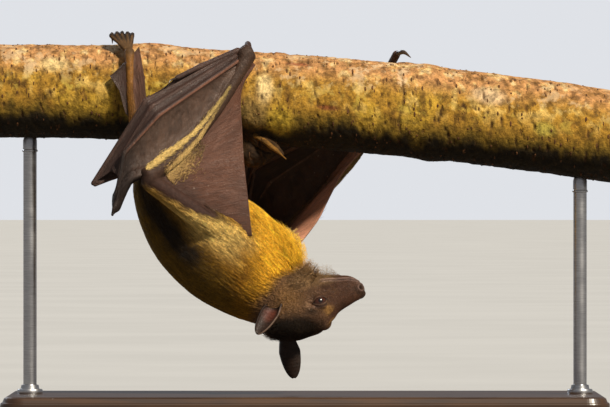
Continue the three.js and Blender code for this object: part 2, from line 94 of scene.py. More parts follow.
def unit(vectors: Array) -> Array:
    """Vectors at length 1."""
    return vectors / np.maximum(np.linalg.norm(vectors, axis=-1, keepdims=True), 1e-9)


def dot(first: Array, second: Array) -> Array:
    """The product of each pair of vectors."""
    return np.einsum("nk,nk->n", first, second)


def turns(count: int) -> Array:
    """Angles evenly round a circle."""
    return np.linspace(0, 2 * np.pi, count, endpoint=False)


def plain(count: int, tint: Triple) -> Array:
    """One colour for every point."""
    return np.outer(np.ones(count), tint)


def blend(colour: Array, other: Triple | Array, share: Array) -> Array:
    """Colours mixed by a share for each point."""
    return colour + (np.asarray(other) - colour) * np.clip(share, 0, 1)[:, None]


def painted(colour: Array, *coats: tuple[Triple | Array, Array]) -> Array:
    """Colours with further colours laid over them, each by its own share."""
    for other, share in coats:
        colour = blend(colour, other, share)
    return colour


def flattened(lies: Array, normals: Array) -> Array:
    """Directions turned to lie along the skin."""
    return unit(lies - normals * dot(lies, normals)[:, None])


def ramp(values: Array, low: float, high: float) -> Array:
    """Smooth rise from 0 at low to 1 at high, or a fall where low is the larger."""
    share = np.clip((values - low) / (high - low), 0, 1)
    return share * share * (3 - 2 * share)


def hump(distance: Array, reach: float) -> Array:
    """A smooth bump of height 1 that fades over reach."""
    return np.exp(-((distance / reach) ** 2))


def noise(points: Array, size: float, seed: int = 0) -> Array:
    """Smooth random values.

    Args:
        points: (n, 3) places.
        size: distance over which the values change.
        seed: picks the pattern.

    Returns:
        n values from -1 to 1.
    """
    grid = points / size + 11.7 * (seed + 1)
    cell = np.floor(grid).astype(np.int64)
    share = grid - cell
    share = share * share * (3 - 2 * share)
    total = np.zeros(len(points))
    for corner in itertools.product((0, 1), repeat=3):
        key = cell + np.array(corner)
        mixed = (key[:, 0] * 73856093) ^ (key[:, 1] * 19349663) ^ (key[:, 2] * 83492791) ^ (seed * 9176 + 77)
        mixed = (mixed * 2654435761) & 0xFFFFFFFF
        mixed ^= mixed >> 15
        mixed = (mixed * 2246822519) & 0xFFFFFFFF
        mixed ^= mixed >> 13
        weight = np.prod(np.where(corner, share, 1 - share), axis=1)
        total += weight * (mixed / 2147483647.5 - 1)
    return total


def layered(points: Array, size: float, layers: int = 3, seed: int = 0) -> Array:
    """Noise in several layers, each half the size and half the strength of the last."""
    total = sum(noise(points, size / 2**k, seed + k) / 2**k for k in range(layers))
    return total / (2 - 0.5 ** (layers - 1))


def through(points: Array, where: Array) -> Array:
    """Points on a smooth curve through points, with where from 0 to 1 evenly by point.

    Args:
        points: the places it passes.
        where: the places wanted along it.

    Returns:
        The points there.
    """
    points = np.asarray(points, float)
    place = np.asarray(where, float) * (len(points) - 1)
    first = np.clip(np.floor(place).astype(int), 0, len(points) - 2)
    share = (place - first)[:, None]
    near, far = points[first], points[first + 1]
    last = len(points) - 1
    before = np.where(first[:, None] > 0, points[np.maximum(first - 1, 0)], 2 * near - far)
    after = np.where(first[:, None] < last - 1, points[np.minimum(first + 2, last)], 2 * far - near)
    return 0.5 * (
        2 * near
        + (far - before) * share
        + (2 * before - 5 * near + 4 * far - after) * share**2
        + (3 * near - before - 3 * far + after) * share**3
    )


def straight(points: Array, where: Array) -> Array:
    """Points on straight lines through points, with where from 0 to 1 evenly by point."""
    points = np.asarray(points, float)
    place = np.asarray(where, float) * (len(points) - 1)
    return np.stack([np.interp(place, np.arange(len(points)), column) for column in points.T], axis=1)


# ---------------------------------------------------------------- shapes


@dataclass
class Shape:
    """A triangle mesh in millimetres, with named values and a flat map place for each point."""

    points: Array
    faces: Array
    values: dict[str, Array] = field(default_factory=dict)
    flat: Array | None = None
    chart: str = "OFBake"

    @staticmethod
    def joined(shapes: Sequence["Shape"]) -> "Shape":
        """All the shapes as one, keeping the values that the first one has."""
        starts = np.cumsum([0] + [len(shape.points) for shape in shapes[:-1]])
        values = {key: np.concatenate([shape.values[key] for shape in shapes]) for key in shapes[0].values}
        flat = None if shapes[0].flat is None else np.concatenate([shape.flat for shape in shapes])
        return Shape(
            np.concatenate([shape.points for shape in shapes]),
            np.concatenate([shape.faces + start for shape, start in zip(shapes, starts)]),
            values,
            flat,
            shapes[0].chart,
        )

    def normals(self) -> Array:
        """The outward direction at each point."""
        corners = self.points[self.faces]
        across = np.cross(corners[:, 1] - corners[:, 0], corners[:, 2] - corners[:, 0])
        total = np.zeros_like(self.points)
        for corner in range(3):
            np.add.at(total, self.faces[:, corner], across)
        return unit(total)

    def turned_out(self) -> "Shape":
        """The same closed shape with its faces pointing out."""
        a, b, c = (self.points[self.faces[:, k]] for k in range(3))
        if np.sum(a * np.cross(b, c)) < 0:
            self.faces = self.faces[:, ::-1].copy()
        return self


def loft(loops: Array, first_tip: Array, last_tip: Array) -> Shape:
    """Joins loops of points into one closed surface with a tip at each end."""
    count, sides, _ = loops.shape
    points = np.concatenate([[first_tip], loops.reshape(-1, 3), [last_tip]])
    index = 1 + np.arange(count * sides).reshape(count, sides)
    turned = np.roll(index, -1, axis=1)
    near, near_next, far, far_next = index[:-1], turned[:-1], index[1:], turned[1:]
    faces = [
        np.stack([near, near_next, far_next], -1).reshape(-1, 3),
        np.stack([near, far_next, far], -1).reshape(-1, 3),
        np.stack([np.zeros(sides, int), turned[0], index[0]], -1),
        np.stack([np.full(sides, len(points) - 1), index[-1], turned[-1]], -1),
    ]
    return Shape(points, np.concatenate(faces)).turned_out()


def plate(middle: Array, half: Array) -> Shape:
    """A closed sheet round a grid of points.

    Args:
        middle: (rows, columns, 3) points in the middle of the sheet.
        half: (rows, columns) half thickness.

    Returns:
        The sheet, with every top point first and then every bottom point.
    """
    rows, columns, _ = middle.shape
    normal = unit(np.cross(np.gradient(middle, axis=0), np.gradient(middle, axis=1)))
    top, bottom = middle + normal * half[..., None], middle - normal * half[..., None]
    points = np.concatenate([top.reshape(-1, 3), bottom.reshape(-1, 3)])
    grid = np.arange(rows * columns).reshape(rows, columns)
    a, b, c, d = grid[:-1, :-1], grid[:-1, 1:], grid[1:, 1:], grid[1:, :-1]
    upper = np.concatenate([np.stack([a, d, c], -1).reshape(-1, 3), np.stack([a, c, b], -1).reshape(-1, 3)])
    rim = np.concatenate([grid[0, :-1], grid[:-1, -1], grid[-1, :0:-1], grid[:0:-1, 0]])
    onward, under = np.roll(rim, -1), rows * columns
    side = np.concatenate(
        [np.stack([rim, onward, onward + under], -1), np.stack([rim, onward + under, rim + under], -1)]
    )
    return Shape(points, np.concatenate([upper, upper[:, ::-1] + under, side])).turned_out()


def frames_along(centres: Array) -> tuple[Array, Array, Array]:
    """Forward, across and up directions at each point of a line, without a twist."""
    forward = unit(np.gradient(centres, axis=0))
    helper = np.array([0.0, 1.0, 0.0]) if abs(forward[0][1]) < 0.9 else np.array([1.0, 0.0, 0.0])
    across = [unit(np.cross(helper, forward[0]))]
    for direction in forward[1:]:
        across.append(unit(across[-1] - direction * np.dot(across[-1], direction)))
    across = np.array(across)
    return forward, across, np.cross(forward, across)


def tube(
    points: Array, radii: Sequence[float], sides: int = 12, steps: int = 24, curved: bool = True,
) -> Shape:
    """A bent round limb with round ends.

    Args:
        points: places along its middle.
        radii: its radius at each of them.
        sides: points in each loop.
        steps: loops along it.
        curved: whether it passes smoothly through the points.

    Returns:
        The closed limb.
    """
    where = np.linspace(0, 1, steps)
    line = (through if curved else straight)(points, where)
    width = np.interp(where, np.linspace(0, 1, len(radii)), radii)
    forward, across, up = frames_along(line)
    turn = turns(sides)
    circle = np.cos(turn)[None, :, None] * across[:, None] + np.sin(turn)[None, :, None] * up[:, None]
    loops = line[:, None] + circle * width[:, None, None]
    start = line[0] - forward[0] * 0.6 * width[0] + circle[0] * 0.72 * width[0]
    end = line[-1] + forward[-1] * 0.6 * width[-1] + circle[-1] * 0.72 * width[-1]
    loops = np.concatenate([[start], loops, [end]])
    return loft(loops, line[0] - forward[0] * width[0], line[-1] + forward[-1] * width[-1])


# ---------------------------------------------------------------- Blender pieces


def show(piece: Piece) -> None:
    """Puts an object in the scene."""
    bpy.context.scene.collection.objects.link(piece)


def mesh_from(name: str, shape: Shape) -> bpy.types.Mesh:
    """A smooth-shaded Blender mesh of a shape, with its values as attributes and its map as UVs.

    Args:
        name: the mesh's name.
        shape: what it shows, in mm.

    Returns:
        The mesh, in metres.
    """
    mesh = bpy.data.meshes.new(name)
    count = len(shape.faces)
    mesh.vertices.add(len(shape.points))
    mesh.vertices.foreach_set("co", (shape.points * MM).astype(np.float32).ravel())
    mesh.loops.add(count * 3)
    mesh.loops.foreach_set("vertex_index", shape.faces.astype(np.int32).ravel())
    mesh.polygons.add(count)
    mesh.polygons.foreach_set("loop_start", np.arange(0, count * 3, 3, dtype=np.int32))
    mesh.update(calc_edges=True)
    mesh.polygons.foreach_set("use_smooth", np.ones(count, bool))
    for key, values in shape.values.items():
        if values.ndim == 2:
            colour = np.concatenate([np.clip(values, 0, 1), np.ones((len(values), 1))], axis=1)
            mesh.attributes.new(key, "FLOAT_COLOR", "POINT").data.foreach_set(
                "color", colour.astype(np.float32).ravel()
            )
        else:
            mesh.attributes.new(key, "FLOAT", "POINT").data.foreach_set("value", values.astype(np.float32))
    if shape.flat is not None:
        layer = mesh.uv_layers.new(name=shape.chart)
        layer.data.foreach_set("uv", shape.flat[shape.faces.ravel()].astype(np.float32).ravel())
    mesh.validate()
    return mesh


def add_piece(
    name: str, shape: Shape, finish: Material, nodes: Sequence[str] = ()
) -> Piece:
    """Adds a finished piece to the model.

    Args:
        name: the piece's name.
        shape: its mesh.
        finish: its material.
        nodes: the nodes it stands for.

    Returns:
        The object.
    """
    piece = bpy.data.objects.new(name, mesh_from(name, shape))
    show(piece)
    return adopt(piece, finish, nodes)


def adopt(
    piece: Piece, finish: Material, nodes: Sequence[str] = ()
) -> Piece:
    """Gives an object its material, body and nodes, and reports it."""
    piece.data.materials.clear()
    piece.data.materials.append(finish)
    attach(piece, "root")
    if nodes:
        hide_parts(*nodes)
    LOG.info("%s: %d faces", piece.name, len(piece.data.polygons))
    return piece


def evaluated(piece: Piece) -> bpy.types.Mesh:
    """A plain mesh of an object with its modifiers applied."""
    graph = bpy.context.evaluated_depsgraph_get()
    return bpy.data.meshes.new_from_object(piece.evaluated_get(graph), depsgraph=graph)


def welded(shape: Shape, voxel: float, smoothing: int) -> Shape:
    """Overlapping closed shapes as one even skin.

    Args:
        shape: the overlapping shapes.
        voxel: mesh size in millimetres.
        smoothing: how many times the skin is relaxed.

    Returns:
        The skin, in triangles.
    """
    piece = bpy.data.objects.new("weld", mesh_from("weld", shape))
    show(piece)
    remesh = piece.modifiers.new("even", "REMESH")
    remesh.mode = "VOXEL"
    remesh.voxel_size = voxel * MM
    relax = piece.modifiers.new("relax", "SMOOTH")
    relax.factor, relax.iterations = 0.5, smoothing
    mesh = evaluated(piece)
    result = shape_of(mesh)
    bpy.data.objects.remove(piece)
    bpy.data.meshes.remove(mesh)
    return result


def shape_of(mesh: bpy.types.Mesh) -> Shape:
    """A shape from a Blender mesh."""
    mesh.calc_loop_triangles()
    points = np.empty(len(mesh.vertices) * 3, np.float32)
    mesh.vertices.foreach_get("co", points)
    faces = np.empty(len(mesh.loop_triangles) * 3, np.int32)
    mesh.loop_triangles.foreach_get("vertices", faces)
    return Shape(points.reshape(-1, 3).astype(float) / MM, faces.reshape(-1, 3))


def finer(shape: Shape, chosen: Callable[[Array], Array]) -> Shape:
    """Splits the triangles whose middles are chosen into four, with their neighbours fitted to them.

    Args:
        shape: the triangles.
        chosen: which places get smaller ones.

    Returns:
        The shape with those split.
    """
    mesh = bpy.data.meshes.new("finer")
    mesh.from_pydata(shape.points.tolist(), [], shape.faces.tolist())
    picked = chosen(shape.points[shape.faces].mean(axis=1))
    form = bmesh.new()
    form.from_mesh(mesh)
    form.faces.ensure_lookup_table()
    edges = list({edge for index in np.nonzero(picked)[0] for edge in form.faces[int(index)].edges})
    bmesh.ops.subdivide_edges(form, edges=edges, cuts=1, use_grid_fill=True)
    bmesh.ops.triangulate(form, faces=form.faces[:])
    points = np.array([vertex.co[:] for vertex in form.verts])
    form.verts.index_update()
    faces = np.array([[vertex.index for vertex in face.verts] for face in form.faces])
    form.free()
    bpy.data.meshes.remove(mesh)
    return Shape(points, faces)


def relaxed(shape: Shape, times: int, strength: Array | float = 0.5) -> Shape:
    """Moves each point towards the middle of its neighbours."""
    edges = np.concatenate([shape.faces[:, [0, 1]], shape.faces[:, [1, 2]], shape.faces[:, [2, 0]]])
    edges = np.concatenate([edges, edges[:, ::-1]])
    count = np.bincount(edges[:, 0], minlength=len(shape.points))[:, None]
    share = strength[:, None] if isinstance(strength, np.ndarray) else strength
    for _ in range(times):
        total = np.stack(
            [np.bincount(edges[:, 0], shape.points[edges[:, 1], k], len(shape.points)) for k in range(3)],
            axis=1,
        )
        shape.points = shape.points + (total / np.maximum(count, 1) - shape.points) * share
    return shape


# ---------------------------------------------------------------- materials


class Nodes:
    """Writes a material's node tree in few words."""

    def __init__(self, name: str) -> None:
        """Starts a material with its shader and output."""
        self.material = bpy.data.materials.new(name)
        self.material.use_nodes = True
        self.tree = self.material.node_tree
        self.tree.nodes.clear()
        self.shader = self.tree.nodes.new("ShaderNodeBsdfPrincipled")
        output = self.tree.nodes.new("ShaderNodeOutputMaterial")
        self.tree.links.new(self.shader.outputs[0], output.inputs["Surface"])

    def link(self, source: Socket | float | Triple, target: Socket) -> None:
        """Links a socket, or sets a plain value."""
        if isinstance(source, Socket):
            self.tree.links.new(source, target)
        else:
            target.default_value = source

    def place(
        self, scale: Triple = (1.0, 1.0, 1.0), flat: str = "", turn: Triple = (0.0, 0.0, 0.0)
    ) -> Socket:
        """Object coordinates, or a UV map's, scaled and turned."""
        if flat:
            source = self.tree.nodes.new("ShaderNodeUVMap")
            source.uv_map = flat
            start = source.outputs[0]
        else:
            start = self.tree.nodes.new("ShaderNodeTexCoord").outputs["Object"]
        mapping = self.tree.nodes.new("ShaderNodeMapping")
        mapping.inputs["Scale"].default_value = scale
        mapping.inputs["Rotation"].default_value = turn
        self.tree.links.new(start, mapping.inputs["Vector"])
        return mapping.outputs[0]

    def grain(self, place: Socket, scale: float, detail: float = 3.0, rough: float = 0.55) -> Socket:
        """A noise value."""
        node = self.tree.nodes.new("ShaderNodeTexNoise")
        node.inputs["Scale"].default_value = scale
        node.inputs["Detail"].default_value = detail
        node.inputs["Roughness"].default_value = rough
        self.tree.links.new(place, node.inputs["Vector"])
        return node.outputs["Fac"]

    def cells(self, place: Socket, scale: float, edges: bool = True) -> Socket:
        """Distance to the edges, or to the middles, of random cells."""
        node = self.tree.nodes.new("ShaderNodeTexVoronoi")
        node.feature = "DISTANCE_TO_EDGE" if edges else "F1"
        node.inputs["Scale"].default_value = scale
        self.tree.links.new(place, node.inputs["Vector"])
        return node.outputs["Distance"]

    def value(self, key: str) -> Socket:
        """A named value of the mesh."""
        node = self.tree.nodes.new("ShaderNodeAttribute")
        node.attribute_name = key
        return node.outputs["Fac"]

    def tint(self, key: str) -> Socket:
        """A named colour of the mesh."""
        node = self.tree.nodes.new("ShaderNodeAttribute")
        node.attribute_name = key
        return node.outputs["Color"]

    def span(
        self, source: Socket, low: float, high: float, out_low: float = 0.0, out_high: float = 1.0
    ) -> Socket:
        """A value moved from one range to another, held at its ends."""
        node = self.tree.nodes.new("ShaderNodeMapRange")
        node.interpolation_type = "SMOOTHSTEP"
        for index, number in enumerate((low, high, out_low, out_high), start=1):
            node.inputs[index].default_value = number
        self.tree.links.new(source, node.inputs[0])
        return node.outputs[0]

    def swing(self, source: Socket, low: float = 0.0, high: float = 1.0) -> Socket:
        """The middle part of a grain, where most of it lies, stretched between two levels."""
        return self.span(source, 0.3, 0.7, low, high)

    def times(self, first: Socket | float, second: Socket | float) -> Socket:
        """Two values multiplied."""
        return self.sum("MULTIPLY", first, second)

    def toned(self, tone: Socket) -> Socket:
        """The mesh's own tint made lighter and darker."""
        return self.mixed(1.0, self.tint("tint"), tone, "MULTIPLY")

    def sum(self, kind: str, first: Socket | float, second: Socket | float) -> Socket:
        """Two values combined by a math operation."""
        node = self.tree.nodes.new("ShaderNodeMath")
        node.operation = kind
        self.link(first, node.inputs[0])
        self.link(second, node.inputs[1])
        return node.outputs[0]

    def mixed(
        self,
        share: Socket | float,
        first: Socket | Triple,
        second: Socket | Triple,
        kind: str = "MIX",
    ) -> Socket:
        """Two colours mixed by a share."""
        node = self.tree.nodes.new("ShaderNodeMix")
        node.data_type = "RGBA"
        node.blend_type = kind
        self.link(share, node.inputs[0])
        for colour, socket in ((first, node.inputs[6]), (second, node.inputs[7])):
            self.link((*colour, 1.0) if isinstance(colour, tuple) else colour, socket)
        return node.outputs[2]

    def lifted(self, height: Socket, depth: float) -> Socket:
        """A bumped normal of that depth in millimetres."""
        node = self.tree.nodes.new("ShaderNodeBump")
        node.inputs["Distance"].default_value = depth * MM
        self.tree.links.new(height, node.inputs["Height"])
        return node.outputs[0]

    def finish(
        self, colour: Socket | Triple, rough: Socket | float,
        normal: Socket | None = None, **levels: float,
    ) -> Material:
        """Sets the shader's colour, roughness, normal and plain levels, and returns the material."""
        self.link((*colour, 1.0) if isinstance(colour, tuple) else colour, self.shader.inputs["Base Color"])
        self.link(rough, self.shader.inputs["Roughness"])
        if normal is not None:
            self.tree.links.new(normal, self.shader.inputs["Normal"])
        for key, level in levels.items():
            self.shader.inputs[key.replace("_", " ")].default_value = level
        return self.material


@dataclass(frozen=True)
class HairFinish:
    """Hair: the coat's own tint on each tuft, with a streak of light and dark and a soft sheen."""

    name: str
    rough: float = 0.62
    sheen: float = 0.05

    def material(self) -> Material:
        """Builds the material."""
        nodes = Nodes(self.name)
        place = nodes.place()
        streak = nodes.swing(nodes.grain(place, 900.0, 2.0), 0.76, 1.2)
        patch = nodes.swing(nodes.grain(place, 140.0, 2.0), 0.9, 1.1)
        colour = nodes.mixed(1.0, nodes.tint("tint"), nodes.times(streak, patch), "MULTIPLY")
        return nodes.finish(
            colour, self.rough, Sheen_Weight=self.sheen, Sheen_Roughness=0.4, Specular_IOR_Level=0.2
        )


@dataclass(frozen=True)
class HideFinish:
    """Bare or thinly haired skin: its own tint, fine wrinkles and pores."""

    name: str
    pores: float = 900.0
    wrinkles: float = 260.0
    depth: float = 0.25
    rough: float = 0.58

    def material(self) -> Material:
        """Builds the material."""
        nodes = Nodes(self.name)
        place = nodes.place()
        net = nodes.span(nodes.cells(place, self.pores), 0.0, 0.16)
        folds = nodes.grain(place, self.wrinkles, 4.0, 0.6)
        height = nodes.sum("ADD", nodes.times(net, 0.4), folds)
        tone = nodes.times(nodes.span(net, 0.0, 1.0, 0.8, 1.05), nodes.swing(folds, 0.8, 1.2))
        colour = nodes.toned(tone)
        gloss = nodes.swing(folds, self.rough + 0.1, self.rough - 0.08)
        return nodes.finish(colour, gloss, nodes.lifted(height, self.depth), Specular_IOR_Level=0.28)


@dataclass(frozen=True)
class WingFinish:
    """Wing membrane: a fine stretched net, cross lines and pale flecks on its own tint."""

    name: str
    rough: float = 0.5

    def material(self) -> Material:
        """Builds the material."""
        nodes = Nodes(self.name)
        sheet = nodes.place(flat="GrainMap")
        body = nodes.place()
        net = nodes.span(nodes.cells(nodes.place((1.0, 1.6, 1.0), "GrainMap"), 250.0), 0.0, 0.14)
        lines = nodes.grain(nodes.place((3.2, 0.22, 1.0), "GrainMap"), 130.0, 4.0, 0.62)
        patches = nodes.grain(sheet, 24.0, 4.0, 0.6)
        fleck = nodes.span(nodes.grain(body, 420.0, 2.0, 0.5), 0.70, 0.76)
        tone = nodes.times(nodes.swing(lines, 0.8, 1.18), nodes.swing(patches, 0.84, 1.16))
        tone = nodes.times(tone, nodes.span(net, 0.0, 1.0, 0.8, 1.06))
        base = nodes.toned(tone)
        colour = nodes.mixed(nodes.times(fleck, 0.3), base, (0.5, 0.38, 0.3))
        height = nodes.sum("ADD", nodes.times(lines, 0.9), nodes.times(net, 0.35))
        gloss = nodes.swing(patches, self.rough + 0.12, self.rough - 0.04)
        return nodes.finish(colour, gloss, nodes.lifted(height, 0.32), Specular_IOR_Level=0.4)


@dataclass(frozen=True)
class BarkFinish:
    """Bark: the branch's own tint, mottled by lichen, with fine cracks and grit."""

    name: str

    def material(self) -> Material:
        """Builds the material."""
        nodes = Nodes(self.name)
        place = nodes.place()
        upright = nodes.place((1.0, 0.4, 0.4))
        mottle = nodes.grain(place, 240.0, 5.0, 0.7)
        grit = nodes.grain(place, 900.0, 3.0, 0.6)
        dashes = nodes.span(nodes.grain(upright, 330.0, 3.0, 0.5), 0.62, 0.72)
        crust = nodes.span(nodes.grain(place, 75.0, 5.0, 0.7), 0.52, 0.62)
        tone = nodes.times(nodes.span(mottle, 0.34, 0.66, 0.5, 1.42), nodes.swing(grit, 0.8, 1.18))
        base = nodes.toned(tone)
        lichen = nodes.mixed(nodes.times(crust, nodes.value("lichen")), base, nodes.tint("crust"))
        colour = nodes.mixed(nodes.times(dashes, 0.55), lichen, (0.11, 0.045, 0.015))
        height = nodes.sum("ADD", nodes.times(grit, 0.4), mottle)
        height = nodes.sum("SUBTRACT", height, nodes.times(dashes, 0.6))
        return nodes.finish(colour, 0.88, nodes.lifted(height, 0.8), Specular_IOR_Level=0.25)


@dataclass(frozen=True)
class WoodFinish:
    """Stained wood: long grain along X under a satin lacquer."""

    name: str
    dark: Triple = (0.035, 0.017, 0.009)
    light: Triple = (0.085, 0.042, 0.02)

    def material(self) -> Material:
        """Builds the material."""
        nodes = Nodes(self.name)
        grain = nodes.grain(nodes.place((0.06, 1.0, 1.0)), 300.0, 5.0, 0.6)
        figure = nodes.grain(nodes.place((0.12, 1.0, 1.0)), 34.0, 3.0, 0.5)
        share = nodes.times(nodes.swing(grain), nodes.span(figure, 0.25, 0.7, 0.4, 1.0))
        colour = nodes.mixed(share, self.dark, self.light)
        rough = nodes.swing(grain, 0.42, 0.34)
        return nodes.finish(colour, rough, nodes.lifted(grain, 0.12), Coat_Weight=0.25, Coat_Roughness=0.2)


@dataclass(frozen=True)
class CutWoodFinish:
    """The sawn end of the branch: pale wood with fine growth rings and saw marks."""

    name: str
    middle: Triple

    def material(self) -> Material:
        """Builds the material."""
        nodes = Nodes(self.name)
        mapping = nodes.tree.nodes.new("ShaderNodeMapping")
        mapping.vector_type = "POINT"
        mapping.inputs["Location"].default_value = tuple(-value * MM for value in self.middle)
        nodes.tree.links.new(
            nodes.tree.nodes.new("ShaderNodeTexCoord").outputs["Object"], mapping.inputs["Vector"]
        )
        rings = nodes.tree.nodes.new("ShaderNodeTexWave")
        rings.wave_type, rings.rings_direction = "RINGS", "X"
        for key, level in (("Scale", 130.0), ("Distortion", 2.2), ("Detail", 3.0), ("Detail Scale", 0.6)):
            rings.inputs[key].default_value = level
        nodes.tree.links.new(mapping.outputs[0], rings.inputs["Vector"])
        saw = nodes.grain(nodes.place((1.0, 1.0, 0.06)), 700.0, 2.0)
        blotch = nodes.grain(nodes.place(), 60.0, 4.0)
        ring_share = nodes.span(rings.outputs["Fac"], 0.2, 0.9)
        base = nodes.mixed(ring_share, (0.42, 0.27, 0.13), (0.62, 0.46, 0.26))
        colour = nodes.mixed(nodes.span(blotch, 0.4, 0.75, 0.0, 0.5), base, (0.3, 0.17, 0.08))
        return nodes.finish(colour, 0.75, nodes.lifted(saw, 0.2), Specular_IOR_Level=0.3)


@dataclass(frozen=True)
class SteelFinish:
    """Brushed steel rod: fine lines round it and a little smear."""

    name: str

    def material(self) -> Material:
        """Builds the material."""
        nodes = Nodes(self.name)
        lines = nodes.grain(nodes.place((0.2, 0.2, 4.0)), 900.0, 2.0)
        smear = nodes.grain(nodes.place(), 60.0, 3.0)
        colour = nodes.mixed(nodes.swing(lines), (0.48, 0.48, 0.49), (0.66, 0.66, 0.67))
        return nodes.finish(
            colour, nodes.swing(smear, 0.28, 0.4), nodes.lifted(lines, 0.03), Metallic=1.0
        )


@dataclass(frozen=True)
class HornFinish:
    """Claw horn: near black at the root, browner at the tip, with fine lengthwise lines."""

    name: str

    def material(self) -> Material:
        """Builds the material."""
        nodes = Nodes(self.name)
        lines = nodes.grain(nodes.place(), 1500.0, 3.0)
        tip = nodes.mixed(nodes.value("along"), (0.018, 0.013, 0.011), (0.09, 0.055, 0.032))
        colour = nodes.mixed(1.0, tip, nodes.swing(lines, 0.8, 1.3), "MULTIPLY")
        return nodes.finish(
            colour, nodes.swing(lines, 0.24, 0.36), nodes.lifted(lines, 0.05), Coat_Weight=0.3
        )


@dataclass(frozen=True)
class EyeFinish:
    """Wet eye: black pupil, red-brown iris with fine spokes, dark rim."""

    name: str

    def material(self) -> Material:
        """Builds the material."""
        nodes = Nodes(self.name)
        spokes = nodes.grain(nodes.place(), 2600.0, 3.0, 0.7)
        reach = nodes.value("reach")
        iris = nodes.mixed(nodes.swing(spokes), (0.022, 0.006, 0.003), (0.085, 0.023, 0.009))
        deep = nodes.mixed(nodes.span(reach, 0.24, 0.40), (0.004, 0.003, 0.003), iris)
        colour = nodes.mixed(nodes.span(reach, 0.84, 0.98), deep, (0.010, 0.005, 0.004))
        rough = nodes.span(spokes, 0.2, 0.8, 0.3, 0.24)
        return nodes.finish(colour, rough, Coat_Weight=0.6, Coat_Roughness=0.1, Specular_IOR_Level=0.3)


# ---------------------------------------------------------------- forms of the body


@dataclass(frozen=True)
class Coat:
    """How hair grows on a form: sizes in mm, tufts for each square mm, and how far tips stand off."""

    length: float
    width: float
    dense: float
    stand: float
    depth: float


@dataclass
class Form:
    """One limb, or the trunk or head, as rings along a line, to shape skin and find a place on it."""

    name: str
    centres: Array
    across: Array
    up: Array
    half_across: Array
    half_up: Array
    coat: Coat
    lie: int = 1

    def __post_init__(self) -> None:
        """Works out the direction along the form."""
        self.forward = unit(np.gradient(self.centres, axis=0))

    def shape(self, sides: int = 48, inset: float = 0.0, stretch: float = 0.0) -> Shape:
        """The form as a closed shape, pulled in by inset and ended stretch beyond its last rings."""
        turn = turns(sides)
        wide = np.maximum(self.half_across - inset, 0.5)[:, None, None]
        high = np.maximum(self.half_up - inset, 0.5)[:, None, None]
        loops = (
            self.centres[:, None]
            + self.across[:, None] * wide * np.cos(turn)[None, :, None]
            + self.up[:, None] * high * np.sin(turn)[None, :, None]
        )
        first = self.centres[0] - self.forward[0] * stretch
        return loft(loops, first, self.centres[-1] + self.forward[-1] * stretch)

    def locate(self, points: Array) -> tuple[Array, Array, Array, Array]:
        """Where points lie on the form.

        Args:
            points: (n, 3) places.

        Returns:
            Distance outside the form, share along it, angle round it in degrees, and direction of the hair.
        """
        nearest = np.empty(len(points), int)
        for start in range(0, len(points), 20000):
            part = points[start : start + 20000, None] - self.centres[None]
            nearest[start : start + 20000] = np.argmin(np.einsum("nmk,nmk->nm", part, part), axis=1)
        away = points - self.centres[nearest]
        a = dot(away, self.across[nearest]) / self.half_across[nearest]
        b = dot(away, self.up[nearest]) / self.half_up[nearest]
        along = dot(away, self.forward[nearest])
        mean = (self.half_across[nearest] + self.half_up[nearest]) / 2
        outside = np.hypot(np.hypot(a, b) * mean, along) - mean
        where = nearest / (len(self.centres) - 1)
        return outside, where, np.degrees(np.arctan2(b, a)), self.forward[nearest] * self.lie


@dataclass
class Head:
    """The head's place, axes and rings, back from the nose tip."""

    nose: Triple = (36.6, -21.0, 72.0)
    pitch: float = 12.0
    roll: float = 36.0
    rings: tuple[tuple[float, float, float, float], ...] = (
        (0.8, -3.2, 3.2, 3.0),
        (3.5, -4.8, 6.2, 5.4),
        (8.0, -6.1, 8.8, 7.4),
        (17.0, -5.2, 11.6, 9.4),
        (23.0, -3.6, 14.0, 11.8),
        (29.0, -1.6, 17.2, 14.4),
        (37.0, -0.6, 18.4, 16.2),
        (46.0, 0.0, 19.0, 16.8),
        (55.0, -1.0, 17.4, 15.6),
        (63.0, -3.0, 13.0, 12.0),
    )
    eye: tuple[float, float, float, float] = (28.5, 10.4, 5.9, 4.4)

    def __post_init__(self) -> None:
        """Works out the head's axes: forward along the muzzle, left, and up through the crown."""
        pitch, roll = math.radians(self.pitch), math.radians(self.roll)
        self.forward = np.array([math.cos(pitch), 0.0, math.sin(pitch)])
        level = np.array([0.0, -1.0, 0.0])
        under = unit(np.cross(self.forward, level))
        self.crown = under * math.cos(roll) + level * math.sin(roll)
        self.left = level * math.cos(roll) - under * math.sin(roll)

    def at(self, back: float, side: float, rise: float) -> Array:
        """A place by its distance back, to the left and towards the crown."""
        return np.array(self.nose) - self.forward * back + self.left * side + self.crown * rise

    def within(self, points: Array) -> Array:
        """Distance back, to the left and towards the crown of points."""
        away = points - np.array(self.nose)
        return np.stack([-away @ self.forward, away @ self.left, away @ self.crown], axis=-1)

    def below(self, points: Array) -> Array:
        """How far points lie towards the throat's side edge, the same for both sides."""
        _, side, rise = self.within(points).T
        turn = np.arctan2(rise, np.abs(side)) + math.radians(54)
        return np.hypot(side, rise) * np.cos(np.maximum(turn, 0))

    def ring(self, back: float) -> tuple[float, float, float]:
        """Rise, half height and half width at a distance back, between straight lines."""
        table = np.array(self.rings)
        return tuple(float(np.interp(back, table[:, 0], table[:, k])) for k in (1, 2, 3))

    def form(self) -> Form:
        """The head as a form with many rings."""
        table = np.array(self.rings)
        smooth = through(table, np.linspace(0, 1, 70))
        centres = np.array([self.at(back, 0.0, rise) for back, rise, _, _ in smooth])
        across = np.repeat(self.left[None], len(smooth), axis=0)
        up = np.repeat(self.crown[None], len(smooth), axis=0)
        return Form("head", centres, across, up, smooth[:, 3], smooth[:, 2], Coat(3.4, 0.34, 7.0, 0.8, 0.7))


HEAD = Head()


